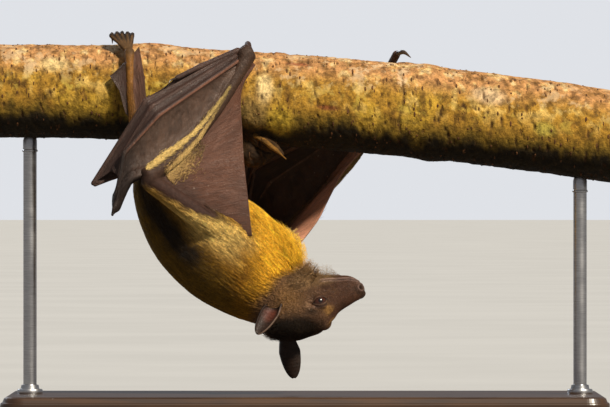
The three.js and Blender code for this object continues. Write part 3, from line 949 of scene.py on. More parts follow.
@dataclass(frozen=True)
class Leg:
    """One leg's joints, toes and claws."""

    side: Side
    hip: Triple
    knee: Triple
    shin: Triple
    ankle: Triple
    sole: Triple
    knuckle_y: float
    knuckle_z: float
    lift: float
    claw_y: float
    claw_z: float
    tip_y: float
    toes: tuple[float, ...]
    calcar: tuple[Triple, ...]

    def toe_points(self) -> list[tuple[Array, Array, Array]]:
        """Root, knuckle and end of each toe."""
        result = []
        for index, x in enumerate(self.toes):
            lift = self.lift * math.sin(math.pi * (index + 1) / (len(self.toes) + 1))
            knuckle = np.array([x, self.knuckle_y, self.knuckle_z + lift])
            root = np.array(self.sole) + (knuckle - np.array(self.sole)) * 0.15
            result.append((root, knuckle, np.array([x, self.claw_y, self.claw_z + lift])))
        return result


LEGS = (
    Leg(
        Side.LEFT, (-82, -27, 126), (-98.5, -46, 157), (-103.6, -36, 190), (-104.4, -30.5, 207.6),
        (-104.8, -25.5, 216.5), -15.5, 225.5, 1.8, -6.5, 226.8, 6.5, (
            -103.4, -106.4, -109.6, -112.7, -115.7
        ),
        ((-106.5, -31, 211), (-116.4, -31.5, 202.2), (-110.6, -34, 193.5), (-107, -38.5, 180)),
    ),
    Leg(
        Side.RIGHT, (-80, -6, 124), (-88, 43, 146), (-91, 39.5, 172), (-92, 37, 193),
        (-92, 34, 203), 29.5, 213.5, 1.2, 23, 219, 13, (-99, -95.9, -92.8, -89.7, -86.6),
        ((-95.5, 37.5, 198), (-104, 39, 190), (-100, 41, 178), (-95, 43, 164)),
    ),
)


@dataclass(frozen=True)
class Wing:
    """One wing's joints and edges."""

    side: Side
    shoulder: Triple
    elbow: Triple
    bow: tuple[Triple, Triple]
    wrist: Triple
    thumb: tuple[Triple, ...]
    thumb_claw: tuple[Triple, ...]
    fingers: dict[int, tuple[Triple, ...]]
    folds: dict[int, tuple[Triple, ...]]
    finger_claw: tuple[Triple, ...]
    leading: tuple[Triple, ...]
    trailing: tuple[Triple, ...]
    flank: tuple[Triple, ...]

    def forearm(self, where: Sequence[float]) -> Array:
        """Points along the bowed forearm, from 0 at the elbow to 1 at the wrist."""
        return through(np.array([self.elbow, *self.bow, self.wrist]), np.asarray(where, float))

    def upper_arm(self, where: Sequence[float]) -> Array:
        """Points along the upper arm, from 0 at the shoulder to 1 at the elbow."""
        return straight(np.array([self.shoulder, self.elbow]), np.asarray(where, float))


WINGS = (
    Wing(
        Side.LEFT, (-40, -38, 103), (-94.2, -74, 141.6), (
            (-73, -57, 157.5), (-52, -40.5, 183.5)
        ), (-33.4, -24.5, 216.2),
        ((-33.8, -16, 219.2), (-34.2, -4, 221.8), (-34.4, 7, 221.2)),
        ((-34.4, 9.6, 220.8), (-34.6, 16, 219), (-34.8, 21.5, 211)),
        {
            2: ((-40, -27.5, 217.8), (-62, -42, 208), (-76, -55, 201)),
            3: ((-41, -28, 217), (-94.2, -63, 187.2), (-125.6, -62, 138.2)),
            4: ((-41.5, -30.5, 214), (-90.6, -66, 183.6), (-113.6, -66.5, 146.2)),
            5: ((-41, -33, 211), (-87, -69, 178.6), (-107, -73, 156.2), (-113.9, -73, 119.6)),
        },
        {
            3: ((-124.6, -62, 137.6), (-112, -58, 142.4), (-100, -56, 166), (-92.5, -53.5, 190)),
            4: ((-112.6, -65, 145.4), (-106, -61, 152), (-98, -60.5, 168), (-93, -60, 180)),
        },
        ((-77, -56, 200.4), (-79.4, -58.6, 199.6), (-81, -60.4, 197.6)),
        (
            (-29.5, -24, 209), (-37.6, -33.5, 195), (-37.8, -36, 178), (-36.4, -39, 151), (-33.8, -44, 128),
            (-31.5, -48, 107)
        ),
        ((-103.2, -74, 138.6), (-112.2, -73.5, 122)),
        (
            (-99, -25.5, 220), (-95.8, -37, 202), (-94.4, -43, 186), (-93, -56, 165), (-86, -66, 138),
            (-62, -60, 116)
        ),
    ),
    Wing(
        Side.RIGHT, (-15, -2, 100), (-21, 64, 103), ((2, 55, 126), (28, 46, 154)), (45.4, 37, 184.6),
        ((48, 32, 196.6), (51.8, 21, 209.4), (55, 7, 216)),
        ((56, 4.6, 216.6), (59.4, 0, 217), (63.4, -4, 213.8)),
        {
            2: ((36.4, 39.9, 189.6), (11, 45, 176.8), (-5, 48, 169.2)),
            3: ((35.8, 40.9, 185.4), (-35, 50.5, 158), (-54.6, 57, 104.2)),
            4: ((36, 41.9, 181.4), (-31, 53.5, 148), (-46, 60, 107)),
            5: ((36.8, 42.9, 177.4), (-21, 57, 139), (-37, 65.5, 114.5), (-45.5, 68, 81.5)),
        },
        {
            3: ((-53.6, 56, 103.6), (-45, 52, 109), (-38, 49, 133), (-33.5, 46.5, 159)),
            4: ((-45, 58.6, 106.4), (-40, 56, 112), (-34, 54, 128), (-31, 52.5, 144)),
        },
        ((-6, 48.3, 168.7), (-8.6, 49, 167.5), (-10.2, 49.6, 165.1)),
        ((42, 37, 178), (34, 32, 158), (25, 27, 149), (12.5, 19, 126), (8, 14, 117), (-2, 8, 103)),
        ((-31, 76, 100), (-42.5, 69, 84)),
        ((-86, 29, 216), (-82, 37, 196), (-78, 43, 176), (-66, 56, 150), (-44, 70, 122), (-30, 56, 104)),
    ),
)


def limb(
    name: str, points: Sequence[Triple] | Array, radii: Sequence[float], coat: Coat, waist: float = 1.0
) -> Form:
    """A round limb through its joints.

    Args:
        name: what the limb is.
        points: its joints.
        radii: its radius at each joint.
        coat: how hair grows on it.
        waist: how much slimmer its middle is.

    Returns:
        The limb as a form.
    """
    where = np.linspace(0, 1, 40)
    centres = straight(points, where)
    _, across, up = frames_along(centres)
    radius = np.interp(where, np.linspace(0, 1, len(radii)), radii)
    radius = radius * (1 - (1 - waist) * np.sin(np.pi * where))
    return Form(name, centres, across, up, radius, radius, coat)


@dataclass
class Markings:
    """Colours of the coat and of bare skin, as linear values."""

    gold: Triple = (0.97, 0.515, 0.033)
    cream: Triple = (0.80, 0.55, 0.17)
    olive: Triple = (0.19, 0.10, 0.009)
    umber: Triple = (0.022, 0.011, 0.003)
    ochre: Triple = (0.36, 0.165, 0.009)
    face: Triple = (0.18, 0.092, 0.048)
    crown: Triple = (0.020, 0.0105, 0.004)
    cheek: Triple = (0.34, 0.18, 0.062)
    patch: Triple = (0.36, 0.19, 0.06)
    muzzle: Triple = (0.124, 0.055, 0.030)
    lips: Triple = (0.24, 0.15, 0.125)
    lid: Triple = (0.02, 0.011, 0.008)
    hide: Triple = (0.06, 0.032, 0.02)
    shank: Triple = (0.24, 0.10, 0.012)

    @staticmethod
    def headness(points: Array, soft: float = 5.5) -> Array:
        """1 on the brown head and 0 on the golden neck, with a slanting line between."""
        back, side, rise = HEAD.within(points).T
        line = (
            (-20, 71), (-7.3, 69.6), (9.5, 61.8), (14.3, 55.0), (19.6, 49), (22.4, 37), (24.9, 28), (28, 16)
        )
        limit = np.interp(HEAD.below(points), *zip(*line))
        return ramp(back - limit + 2.6 * layered(points, 5, 3, 5), soft, -soft) * (np.hypot(side, rise) < 34)

    def trunk(self, where: Array, angle: Array, points: Array) -> Array:
        """Trunk and neck: golden collar and belly, pale shoulders, olive back, a dark band along the flank
        under the arm that is partly darker fur and partly painted shadow, and a painted shadow of the fore
        membrane on the neck.

        Args:
            where: place along the trunk.
            angle: place round it, in degrees.
            points: the points themselves.

        Returns:
            Their colours.
        """
        turn = np.where(np.abs(angle) > 90, np.sign(angle) * 180 - angle, angle)
        wander = 7 * layered(points, 14, 3, 3)
        place = where * 7 + 0.35 * layered(points, 18, 3, 4)
        streak = layered(points, 3.2, 3, 7)
        colour = painted(
            plain(len(points), self.olive),
            (self.ochre, ramp(turn + wander, 30, 0)),
            (self.cream, ramp(turn + wander, 18, -6) * ramp(turn, -70, -35) * ramp(place, 1.6, 3.0)),
            (self.gold, ramp(turn + wander, -18, -42) * 0.95),
            (self.gold, ramp(place, 4.35, 5.0) * ramp(turn + wander, 36, 4)),
            (self.ochre, ramp(place, 4.9, 5.6) * ramp(turn + wander, -12, 22) * 0.8),
            (self.ochre, ramp(streak, 0.15, 0.5) * ramp(place, 4.0, 5.0) * ramp(turn, -60, -15) * 0.55),
        )
        # Painted shadow: the fore membrane's edge darkens the gold of the neck here.
        fold = np.hypot((points[:, 0] + 33) / 9, (points[:, 2] - 83 + 0.3 * wander) / 17)
        colour = blend(colour, (0.24, 0.10, 0.006), hump(fold, 1.0) * ramp(streak, -0.8, 0.1) * 0.9)
        # Dark band under the upper arm: partly darker fur, partly painted shadow cast by the arm.
        dark_fur_and_arm_shadow = hump(turn + wander * 0.5 - (45 - 5.5 * place), 15) * ramp(place, 4.2, 3.3)
        return blend(colour, self.umber, np.clip(dark_fur_and_arm_shadow * 1.3, 0, 1) * 0.96)

    def head(self, points: Array) -> Array:
        """Colour on the head: grey-brown muzzle, tan cheeks, dark crown, a pale patch before each eye.

        Args:
            points: places on the head.

        Returns:
            Their colours.
        """
        back, side, rise = HEAD.within(points).T
        side = np.abs(side)
        wander = 1.6 * layered(points, 9, 3, 5)
        mottle = layered(points, 3.0, 3, 11)
        colour = painted(
            plain(len(points), self.face),
            (self.muzzle, ramp(back, 30, 20)),
            (self.cheek, hump(np.hypot((back - 45) * 0.8, rise - 4), 8) * ramp(side, 6, 11) * 0.85),
            (self.cheek, ramp(rise + wander, -10, -16) * ramp(back, 15, 28) * 0.8),
            (self.patch, hump(np.hypot(back - 19, rise + 1.5), 3.2) * ramp(mottle, -0.3, 0.4) * 0.3),
            (self.crown, ramp(rise + 2 * wander + (back - 30) * 0.1, 11.5, 17.5) * ramp(back, 22, 29)),
        )
        below = HEAD.below(points)
        colour = blend(
            colour, (0.50, 0.31, 0.14), ramp(below, 9, 15) * ramp(back, 12, 20) * ramp(back, 50, 34) * 0.75
        )
        colour = blend(colour, self.crown, ramp(rise + wander * 0.5, 3.2, 5.2) * ramp(back, 21, 8) * 0.85)
        patch = hump(np.hypot((back - 23.0) * 0.62, rise - 9.6 + wander * 0.3), 2.3) * ramp(side, 2, 4)
        colour = blend(colour, self.patch, np.clip(patch * 1.3, 0, 1))
        colour = blend(
            colour, self.crown,
            hump(np.hypot((back - 33) * 0.5, rise - 11.8), 1.7) * ramp(side, 3, 6) * 0.75
        )
        line = rise - Mouth.line(back)
        mouth = ramp(back, 28, 23) * ramp(side, 2.0, 4.5)
        colour = blend(colour, self.lips, np.clip(hump(np.abs(line) - 0.95, 0.6) * mouth, 0, 1) * 0.85)
        # Painted shade: a near-black line in the crease where the lips meet.
        colour = blend(colour, self.lid, hump(line, 0.42) * mouth * 0.95)
        nose = np.linalg.norm(np.stack([back, side, rise], axis=1) - np.array(Face.nostril), axis=1)
        colour = painted(
            colour,
            (self.lips, hump(nose - 1.9, 0.8) * 0.55),
            # Painted shade: near black inside the nostrils.
            ((0.006, 0.004, 0.003), hump(nose, 1.15)),
            (self.crown, hump(nose - 3.6, 1.0) * ramp(rise, -5, -2) * 0.6),
            (self.crown, ramp(back, 5, 1.5) * 0.45),
            # Painted shade: near black in the hole of each ear.
            ((0.006, 0.003, 0.002), ramp(Face.from_hollow(points), 4.0, 2.6)),
        )
        for mirrored in Side:
            colour = self.around_eye(colour, points, mirrored)
        return colour * (1 + 0.22 * mottle * ramp(back, 8, 20))[:, None]

    def around_eye(self, colour: Array, points: Array, side: Side) -> Array:
        """The skin round an eye: near-black lid edges, a dark corner line and a mauve upper lid.

        Args:
            colour: the colours so far.
            points: where they are.
            side: which eye.

        Returns:
            The colours with the lids on them.
        """
        centre, outward, noseward, crownward = Face().eye_axes(side)
        away = points - centre
        near = (np.linalg.norm(away, axis=1) < 9) & (away @ outward > 0)
        along, above = away @ noseward, away @ crownward
        gap = Face().gap(along, above)
        colour = blend(colour, self.muzzle, ramp(gap, 3.4, 1.6) * near * 0.6)
        fold = hump(gap - 1.2, 0.65) * ramp(above, 0.6, 1.8) * ramp(np.abs(along), 4.8, 3.2)
        colour = painted(
            colour,
            ((0.12, 0.072, 0.058), fold * near * 0.85),
            (self.lid, hump(gap - 1.3, 0.6) * ramp(above, -0.4, -1.6) * near * 0.45),
            (self.lid, ramp(gap, 0.45, 0.15) * near),
        )
        corner = hump(above + 0.25 * (along - 4.5), 0.55) * ramp(along, 3.2, 4.4) * ramp(along, 8.6, 6.8)
        return blend(colour, self.lid, corner * near * 0.9)

    def arm(self, where: Array, points: Array) -> Array:
        """Colour on an upper arm: cream towards the shoulder, golden brown at the elbow."""
        wander = 0.12 * layered(points, 12, 3, 6)
        streak = layered(points, 3.2, 3, 7)
        colour = plain(len(points), self.cream)
        colour = blend(colour, self.ochre, ramp(where + wander, 0.35, 0.8) * 0.7)
        colour = blend(colour, self.ochre, ramp(streak, 0.2, 0.6) * 0.35)
        return blend(colour, self.hide, ramp(where + wander, 0.84, 0.96) * 0.9)


class Mouth:
    """The line of the closed mouth."""

    @staticmethod
    def line(back: Array) -> Array:
        """Rise of the line at a distance back from the nose tip."""
        return np.interp(back, (0.0, 3.0, 8.0, 14.0, 20.0, 24.5), (-6.6, -7.6, -8.9, -9.3, -9.2, -8.2))


@dataclass
class Body:
    """Trunk, neck, head and limbs as one skin under one coat."""

    marks: Markings = field(default_factory=Markings)
    depth_line: float = -20.0
    spine: tuple[tuple[float, float, float, float], ...] = (
        (-92, 153, 10, 11),
        (-86, 141, 19.5, 19),
        (-76, 126, 26.5, 26),
        (-63, 110, 31, 30),
        (-46.5, 97.5, 33.5, 32),
        (-28, 83, 29.5, 27),
        (-14.5, 73, 23.5, 21.5),
        (-2, 68, 19, 18),
    )
    voxel: float = 1.05
    forearm_radii: tuple[float, ...] = (6, 5, 4.5, 4.3, 4.6, 5.4)
    palm: float = 6.5
    head_end: float = 58.0
    head_reach: float = 26.0
    detail_reach: float = 7.5
    lip_reach: float = 2.2

    def __post_init__(self) -> None:
        """Lays out every form of the body."""
        rings = through(np.array(self.spine, float), np.linspace(0, 1, 80))
        centres = np.stack([rings[:, 0], np.full(len(rings), self.depth_line), rings[:, 1]], axis=1)
        forward = unit(np.gradient(centres, axis=0))
        across = np.repeat(np.array([[0.0, -1.0, 0.0]]), len(rings), axis=0)
        back = np.cross(np.array([0.0, 1.0, 0.0]), forward)
        self.trunk = Form(
            "trunk", centres, across, back, rings[:, 3], rings[:, 2], Coat(8.5, 0.36, 4.4, 1.5, 2.0), -1
        )
        self.head = HEAD.form()
        self.forms = [self.trunk, self.head]
        arm_coat, thigh_coat = Coat(7.5, 0.36, 4.4, 1.3, 1.3), Coat(5.0, 0.36, 3.4, 1.0, 1.2)
        bare, shank_coat = Coat(0.0, 0.1, 0.0, 0.1, 0.2), Coat(1.8, 0.24, 3.0, 0.35, 0.35)
        for leg in LEGS:
            word = leg.side.word
            self.forms += [
                limb(f"thigh_{word}", (leg.hip, leg.knee), (11, 5), thigh_coat, 0.95),
                limb(f"shank_{word}", (leg.knee, leg.shin, leg.ankle), (5, 3, 2.8), shank_coat),
                limb(f"sole_{word}", (leg.ankle, leg.sole), (2.8, 3.4), bare),
            ]
        for wing in WINGS:
            word = wing.side.word
            coat = Coat(4.0, 0.32, 0.0 if wing.side is Side.LEFT else 4.0, 0.7, 0.3)
            wrist = np.array(wing.wrist, float)
            pad = wrist + self.palm * unit(np.array(wing.fingers[3][1], float) - wrist)
            self.forms += [
                limb(f"upper_arm_{word}", (wing.shoulder, wing.elbow), (10, 6), arm_coat, 0.95),
                limb(f"forearm_{word}", wing.forearm(np.linspace(0, 1, 12)), self.forearm_radii, coat),
                limb(f"wrist_{word}", (pad, wrist), (4.8, 6.4), bare),
            ]
        tail_coat = Coat(3.0, 0.3, 3.0, 0.8, 0.6)
        self.forms.append(limb("tail", ((-92, -19, 154), (-101, -18, 163)), (3.0, 2.2), tail_coat))

    def weights(self, points: Array) -> tuple[Array, list[tuple[Array, Array, Array, Array]]]:
        """How much each form owns each point, and where the point lies on it."""
        places = [form.locate(points) for form in self.forms]
        outside = np.stack([np.maximum(place[0], -1.0) for place in places])
        share = np.exp(-(outside - outside.min(axis=0)) / 1.6)
        share = share / share.sum(axis=0)
        both, head = share[0] + share[1], Markings.headness(points, 5.0)
        share[0], share[1] = both * (1 - head), both * head
        return share, places

    def colours(self, points: Array) -> Array:
        """The coat's and skin's colour at points, the same for both."""
        share, places = self.weights(points)
        both, head = share[0] + share[1], Markings.headness(points, 4.6)
        share = share.copy()
        share[0], share[1] = both * (1 - head), both * head
        total = np.zeros((len(points), 3))
        for form, weight, (_, where, angle, _) in zip(self.forms, share, places):
            total += weight[:, None] * self.form_colour(form.name, where, angle, points)
        return total

    def form_colour(self, name: str, where: Array, angle: Array, points: Array) -> Array:
        """Colour of points on one form.

        Args:
            name: the form's name.
            where: place along it.
            angle: place round it, in degrees.
            points: the points themselves.

        Returns:
            Their colours.
        """
        if name == "trunk":
            return self.marks.trunk(where, angle, points)
        if name == "head":
            return self.marks.head(points)
        if name.startswith("upper_arm"):
            furred = self.marks.arm(where, points)
            return blend(plain(len(points), (0.055, 0.024, 0.016)), furred, self.furred(name, points))
        if name.startswith(("thigh", "tail")):
            return plain(len(points), (0.19, 0.105, 0.022))
        if name.startswith(("shank", "sole")):
            patch = ramp(noise(points, 5, 8), -1.0, 0.1)
            return blend(plain(len(points), self.marks.hide), self.marks.shank, patch)
        if name.startswith("forearm"):
            shade = (0.062, 0.031, 0.018) if name.endswith("left") else (0.12, 0.07, 0.03)
            coat = plain(len(points), shade)
            low = self.forearm_ridge(name, where, points) * (0.0 if name.endswith("left") else 1.0)
            return blend(coat, (0.42, 0.27, 0.09), low)
        return plain(len(points), self.marks.hide)

    @staticmethod
    def furred(name: str, points: Array) -> Array:
        """1 where an upper arm carries hair and 0 where the fore membrane's skin runs over it."""
        if name != "upper_arm_left":
            return np.ones(len(points))
        edge = np.interp(points[:, 0], (-93, -84, -64, -50, -35), (138, 131, 119.5, 114.5, 109))
        ragged = 1.8 * layered(points * np.array([1, 1, 0.4]), 2.4, 2, 90)
        return ramp(edge - points[:, 2] + ragged, -1.8, 1.8)

    def forearm_ridge(self, name: str, where: Array, points: Array) -> Array:
        """1 where a forearm carries its pale line of hair, on the side away from the fingers."""
        form = next(form for form in self.forms if form.name == name)
        nearest = np.clip((where * (len(form.centres) - 1)).astype(int), 0, len(form.centres) - 1)
        away = unit(points - form.centres[nearest])
        facing = away @ unit(np.array([0.62, -0.62, -0.48]))
        return ramp(facing, 0.45, 0.8) * ramp(where, 0.02, 0.1) * ramp(where, 0.86, 0.6)

    def skin(self) -> Shape:
        """The body's skin, inside the coat, with the face modelled."""
        parts = [
            self.trunk.shape(72, self.trunk.coat.depth, 6),
            self.head.shape(72, 0.35, 1.0),
            *(form.shape(24, form.coat.depth, 2.5) for form in self.forms[2:]),
        ]
        for side in Side:
            back, out, rise, radius = HEAD.eye
            centre = HEAD.at(back, out * side.value, rise)
            parts.append(tube([centre - HEAD.left * side.value * 0.2, centre], [radius, radius], 24, 4))
        skin = welded(Shape.joined([Shape(part.points, part.faces) for part in parts]), self.voxel, 3)
        skin = finer(skin, self.on_head)
        skin = finer(skin, self.near_detail)
        near = self.on_head(skin.points)
        share, _ = self.weights(skin.points)
        others = share[2:].max(axis=0)
        fold = np.clip(4 * others * (share[0] + share[1]), 0, 1)
        skin = relaxed(skin, 5, np.where(near, 0.5, 0.3))
        skin = relaxed(skin, 60, 0.55 * fold)
        return Face().modelled(skin)

    def on_head(self, points: Array) -> Array:
        """Whether points lie on the head."""
        back, side, rise = HEAD.within(points).T
        return (back < self.head_end) & (np.hypot(side, rise) < self.head_reach)

    def near_detail(self, points: Array) -> Array:
        """Whether points lie near an eye, the nose or the mouth."""
        back, side, rise = HEAD.within(points).T
        eye_back, eye_side, eye_rise, _ = HEAD.eye
        from_eye = np.stack([back - eye_back, np.abs(side) - eye_side, rise - eye_rise])
        eye = np.linalg.norm(from_eye, axis=0) < self.detail_reach
        mouth = (np.abs(rise - Mouth.line(back)) < self.lip_reach) & (back < 26) & (back > 0)
        return (back < self.head_end) & (eye | mouth | (back < 6))


@dataclass
class Face:
    """Modelled details of the face, in mm: sockets, lids, nostrils, lips, brow, cheeks and fine folds."""

    lid: float = 0.6
    opening: tuple[float, float] = (4.4, 2.05)
    nostril: Triple = (2.3, 3.7, -3.0)
    ear_hollow: Triple = (55.0, 15.3, 0.4)

    def modelled(self, skin: Shape) -> Shape:
        """The skin with its face modelled.

        Args:
            skin: the plain skin.

        Returns:
            The skin with mouth, nostrils, brow, ear holes and lids.
        """
        normals = skin.normals()
        local = HEAD.within(skin.points)
        back, side, rise = local.T
        out = np.abs(side)
        there = ramp(back, 62, 52) * (np.hypot(side, rise) < 27)
        line = Mouth.line(back)
        lip_zone = ramp(back, 26, 23) * ramp(out, 1.0, 2.6) * (back > -2)
        move = -1.25 * hump(rise - line, 0.5) * lip_zone
        move += 0.6 * hump(rise - line - 1.3, 0.8) * lip_zone + 0.5 * hump(rise - line + 1.2, 0.7) * lip_zone
        hole = np.linalg.norm(np.stack([back, out, rise], axis=1) - np.array(self.nostril), axis=1)
        move += 0.75 * hump(hole - 1.9, 0.9) - 2.3 * hump(hole, 0.95)
        move -= 0.7 * hump(side, 0.6) * ramp(back, 6, 3) * ramp(rise, -7, -5.5)
        move += 0.9 * hump(np.hypot(back - 33, rise - 11.5), 5) * ramp(out, 4, 9)
        move -= 0.35 * hump(np.hypot((back - 22) * 0.8, rise - 3), 4) * ramp(out, 3, 6)
        move += 0.8 * hump(np.hypot((back - 22.5) * 0.8, rise - 8), 3) * ramp(out, 2, 5)
        move += 0.8 * hump(back - 26, 8) * ramp(HEAD.below(skin.points), 10, 15)
        move -= 3.4 * hump(self.from_hollow(skin.points), 2.8)
        move += 0.9 * hump(np.hypot((back - 40) * 0.7, rise + 4), 6) * ramp(out, 6, 11)
        move -= 0.5 * hump(np.hypot((back - 30) * 0.4, rise + 8.5), 2.4) * ramp(out, 5, 9)
        folds = layered(local * np.array([0.45, 1, 1]), 2.2, 3, 21)
        move += 0.16 * folds * ramp(back, 46, 20)
        pores = np.maximum(0, noise(local * np.array([0.2, 1, 1]), 1.6, 25))
        move -= 0.22 * pores * ramp(back, 24, 12) * ramp(out, 3, 5)
        skin.points = skin.points + normals * (move * there)[:, None]
        for mirrored in Side:
            skin = self.lidded(skin, mirrored)
        return skin

    @staticmethod
    def from_hollow(points: Array) -> Array:
        """How far points are from the hole of the nearer ear."""
        back, side, rise = HEAD.within(points).T
        away = np.stack([back, np.abs(side), rise], axis=1) - np.array(Face.ear_hollow)
        return np.linalg.norm(away, axis=1)

    def eye_axes(self, side: Side) -> tuple[Array, Array, Array, Array]:
        """Centre, outward, noseward and crownward directions of an eye."""
        back, out, rise, _ = HEAD.eye
        outward = unit(HEAD.left * side.value * 0.9 + HEAD.crown * 0.36 + HEAD.forward * 0.24)
        noseward = unit(HEAD.forward - outward * (HEAD.forward @ outward))
        crownward = np.cross(outward, noseward)
        crownward = crownward * np.sign(crownward @ HEAD.crown)
        tilt = math.radians(-9)
        slant = noseward * math.cos(tilt) + crownward * math.sin(tilt)
        upward = np.cross(outward, slant)
        upward = unit(upward * np.sign(upward @ HEAD.crown))
        return HEAD.at(back, out * side.value, rise), outward, slant, upward

    def gap(self, along: Array, above: Array) -> Array:
        """Distance outside the almond opening between the lids."""
        half, high = self.opening
        share = np.clip(np.abs(along) / half, 0, 1)
        height = high * np.power(1 - share**2, 0.8)
        return np.where(np.abs(along) < half, np.abs(above) - height, np.hypot(above, np.abs(along) - half))

    def lidded(self, skin: Shape, side: Side) -> Shape:
        """The skin with one eye's lids drawn over the eyeball.

        Args:
            skin: the skin.
            side: which eye.

        Returns:
            The skin, open only where the lids part.
        """
        centre, outward, noseward, crownward = self.eye_axes(side)
        radius = HEAD.eye[3]
        away = skin.points - centre
        reach = np.linalg.norm(away, axis=1)
        direction = unit(away)
        front = direction @ outward
        near = (reach < 8.5) & (front > -0.1)
        gap = self.gap(direction @ noseward * (radius + 0.5), direction @ crownward * (radius + 0.5))
        lid = radius + self.lid - 0.1 * gap - 0.3 * hump(gap - 1.7, 0.35) + 0.12 * hump(gap - 0.35, 0.35)
        outer = np.where(gap < 3.2, np.maximum(reach, lid), reach)
        outer = np.where(gap < 1.6, lid + (outer - lid) * ramp(gap, 0.5, 1.6), outer)
        inner = radius - 1.4
        target = inner + (outer - inner) * ramp(gap, -0.32, 0.02)
        wanted = np.where(near, target, reach)
        skin.points = centre + direction * wanted[:, None]
        return skin


@dataclass
class Tufts:
    """Where tufts of hair grow on a skin, and how they draw together."""

    skin: Shape
    seed: int = 5

    def roots(self, rate: Callable[[Array], Array], limit: float) -> tuple[Array, Array]:
        """Random places on the skin.

        Args:
            rate: tufts for each square mm at points.
            limit: the largest rate.

        Returns:
            The places and their outward directions.
        """
        random = np.random.default_rng(self.seed)
        corners = self.skin.points[self.skin.faces]
        across = np.cross(corners[:, 1] - corners[:, 0], corners[:, 2] - corners[:, 0])
        area = np.linalg.norm(across, axis=1) / 2
        want = area * np.minimum(rate(corners.mean(axis=1)), limit)
        count = np.floor(want + random.random(len(want))).astype(int)
        chosen = np.repeat(np.arange(len(want)), count)
        mix = random.random((len(chosen), 2))
        mix = np.where(mix.sum(axis=1, keepdims=True) > 1, 1 - mix, mix)
        shares = np.stack([1 - mix.sum(axis=1), mix[:, 0], mix[:, 1]], axis=1)
        places = np.einsum("nc,nck->nk", shares, corners[chosen])
        normals = self.skin.normals()[self.skin.faces[chosen]]
        return places, unit(np.einsum("nc,nck->nk", shares, normals))

    def clumped(self, roots: Array, tips: Array, spacing: float, pull: float) -> Array:
        """Tips drawn together in small locks."""
        random = np.random.default_rng(self.seed + 1)
        size = max(8, int(len(roots) / (spacing * spacing * 3.2)))
        leaders = random.choice(len(roots), min(size, len(roots)), replace=False)
        finder = KDTree(len(leaders))
        for index, leader in enumerate(leaders):
            finder.insert(roots[leader], index)
        finder.balance()
        nearest = np.array([leaders[finder.find(root)[1]] for root in roots])
        offset = tips[nearest] - tips
        far = np.linalg.norm(roots[nearest] - roots, axis=1) > spacing * 2.2
        return tips + offset * np.where(far, 0, pull)[:, None]


def tuft_mesh(
    roots: Array, normals: Array, lies: Array, tips: Array, widths: Array, stands: Array, tints: Array,
    flat: Array, seed: int,
) -> Shape:
    """One closed mesh of many tufts, each a bent spindle of six faces.

    Args:
        roots: where they grow.
        normals: outward direction of the skin there.
        lies: the way the hair lies.
        tips: where they end.
        widths: their widest.
        stands: how far their middles stand off the skin.
        tints: their colours.
        flat: their places on the skin's unwrap.
        seed: picks their small differences.

    Returns:
        The tufts, with colours and a flat map.
    """
    random = np.random.default_rng(seed)
    middle = roots + (tips - roots) * 0.42 + normals * (stands * 0.45)[:, None]
    aside = unit(np.cross(normals, lies))
    half = (widths * random.uniform(0.75, 1.25, len(roots)) / 2)[:, None]
    corners = np.stack(
        [
            roots - normals * 0.25, middle + aside * half, middle - aside * half,
            middle + normals * half * 0.8, tips,
        ],
        axis=1,
    )
    pattern = np.array([[0, 3, 1], [0, 1, 2], [0, 2, 3], [4, 1, 3], [4, 2, 1], [4, 3, 2]])
    faces = (np.arange(len(roots))[:, None, None] * 5 + pattern[None]).reshape(-1, 3)
    # Painted shade at each tuft's root and painted light at its tip, on top of the coat's own colour.
    shade = np.array([0.68, 0.94, 0.94, 1.0, 1.14])
    own = random.normal(1.0, 0.17, len(roots)).clip(0.55, 1.5)
    colour = tints[:, None] * shade[None, :, None] * own[:, None, None]
    patch = np.array([[0, 0], [0.0015, 0.0012], [-0.0015, 0.0012], [0, 0.0015], [0, 0.003]])
    places = np.clip(flat, 0.002, 0.996)[:, None] + patch[None]
    return Shape(corners.reshape(-1, 3), faces, {"tint": colour.reshape(-1, 3)}, places.reshape(-1, 2))


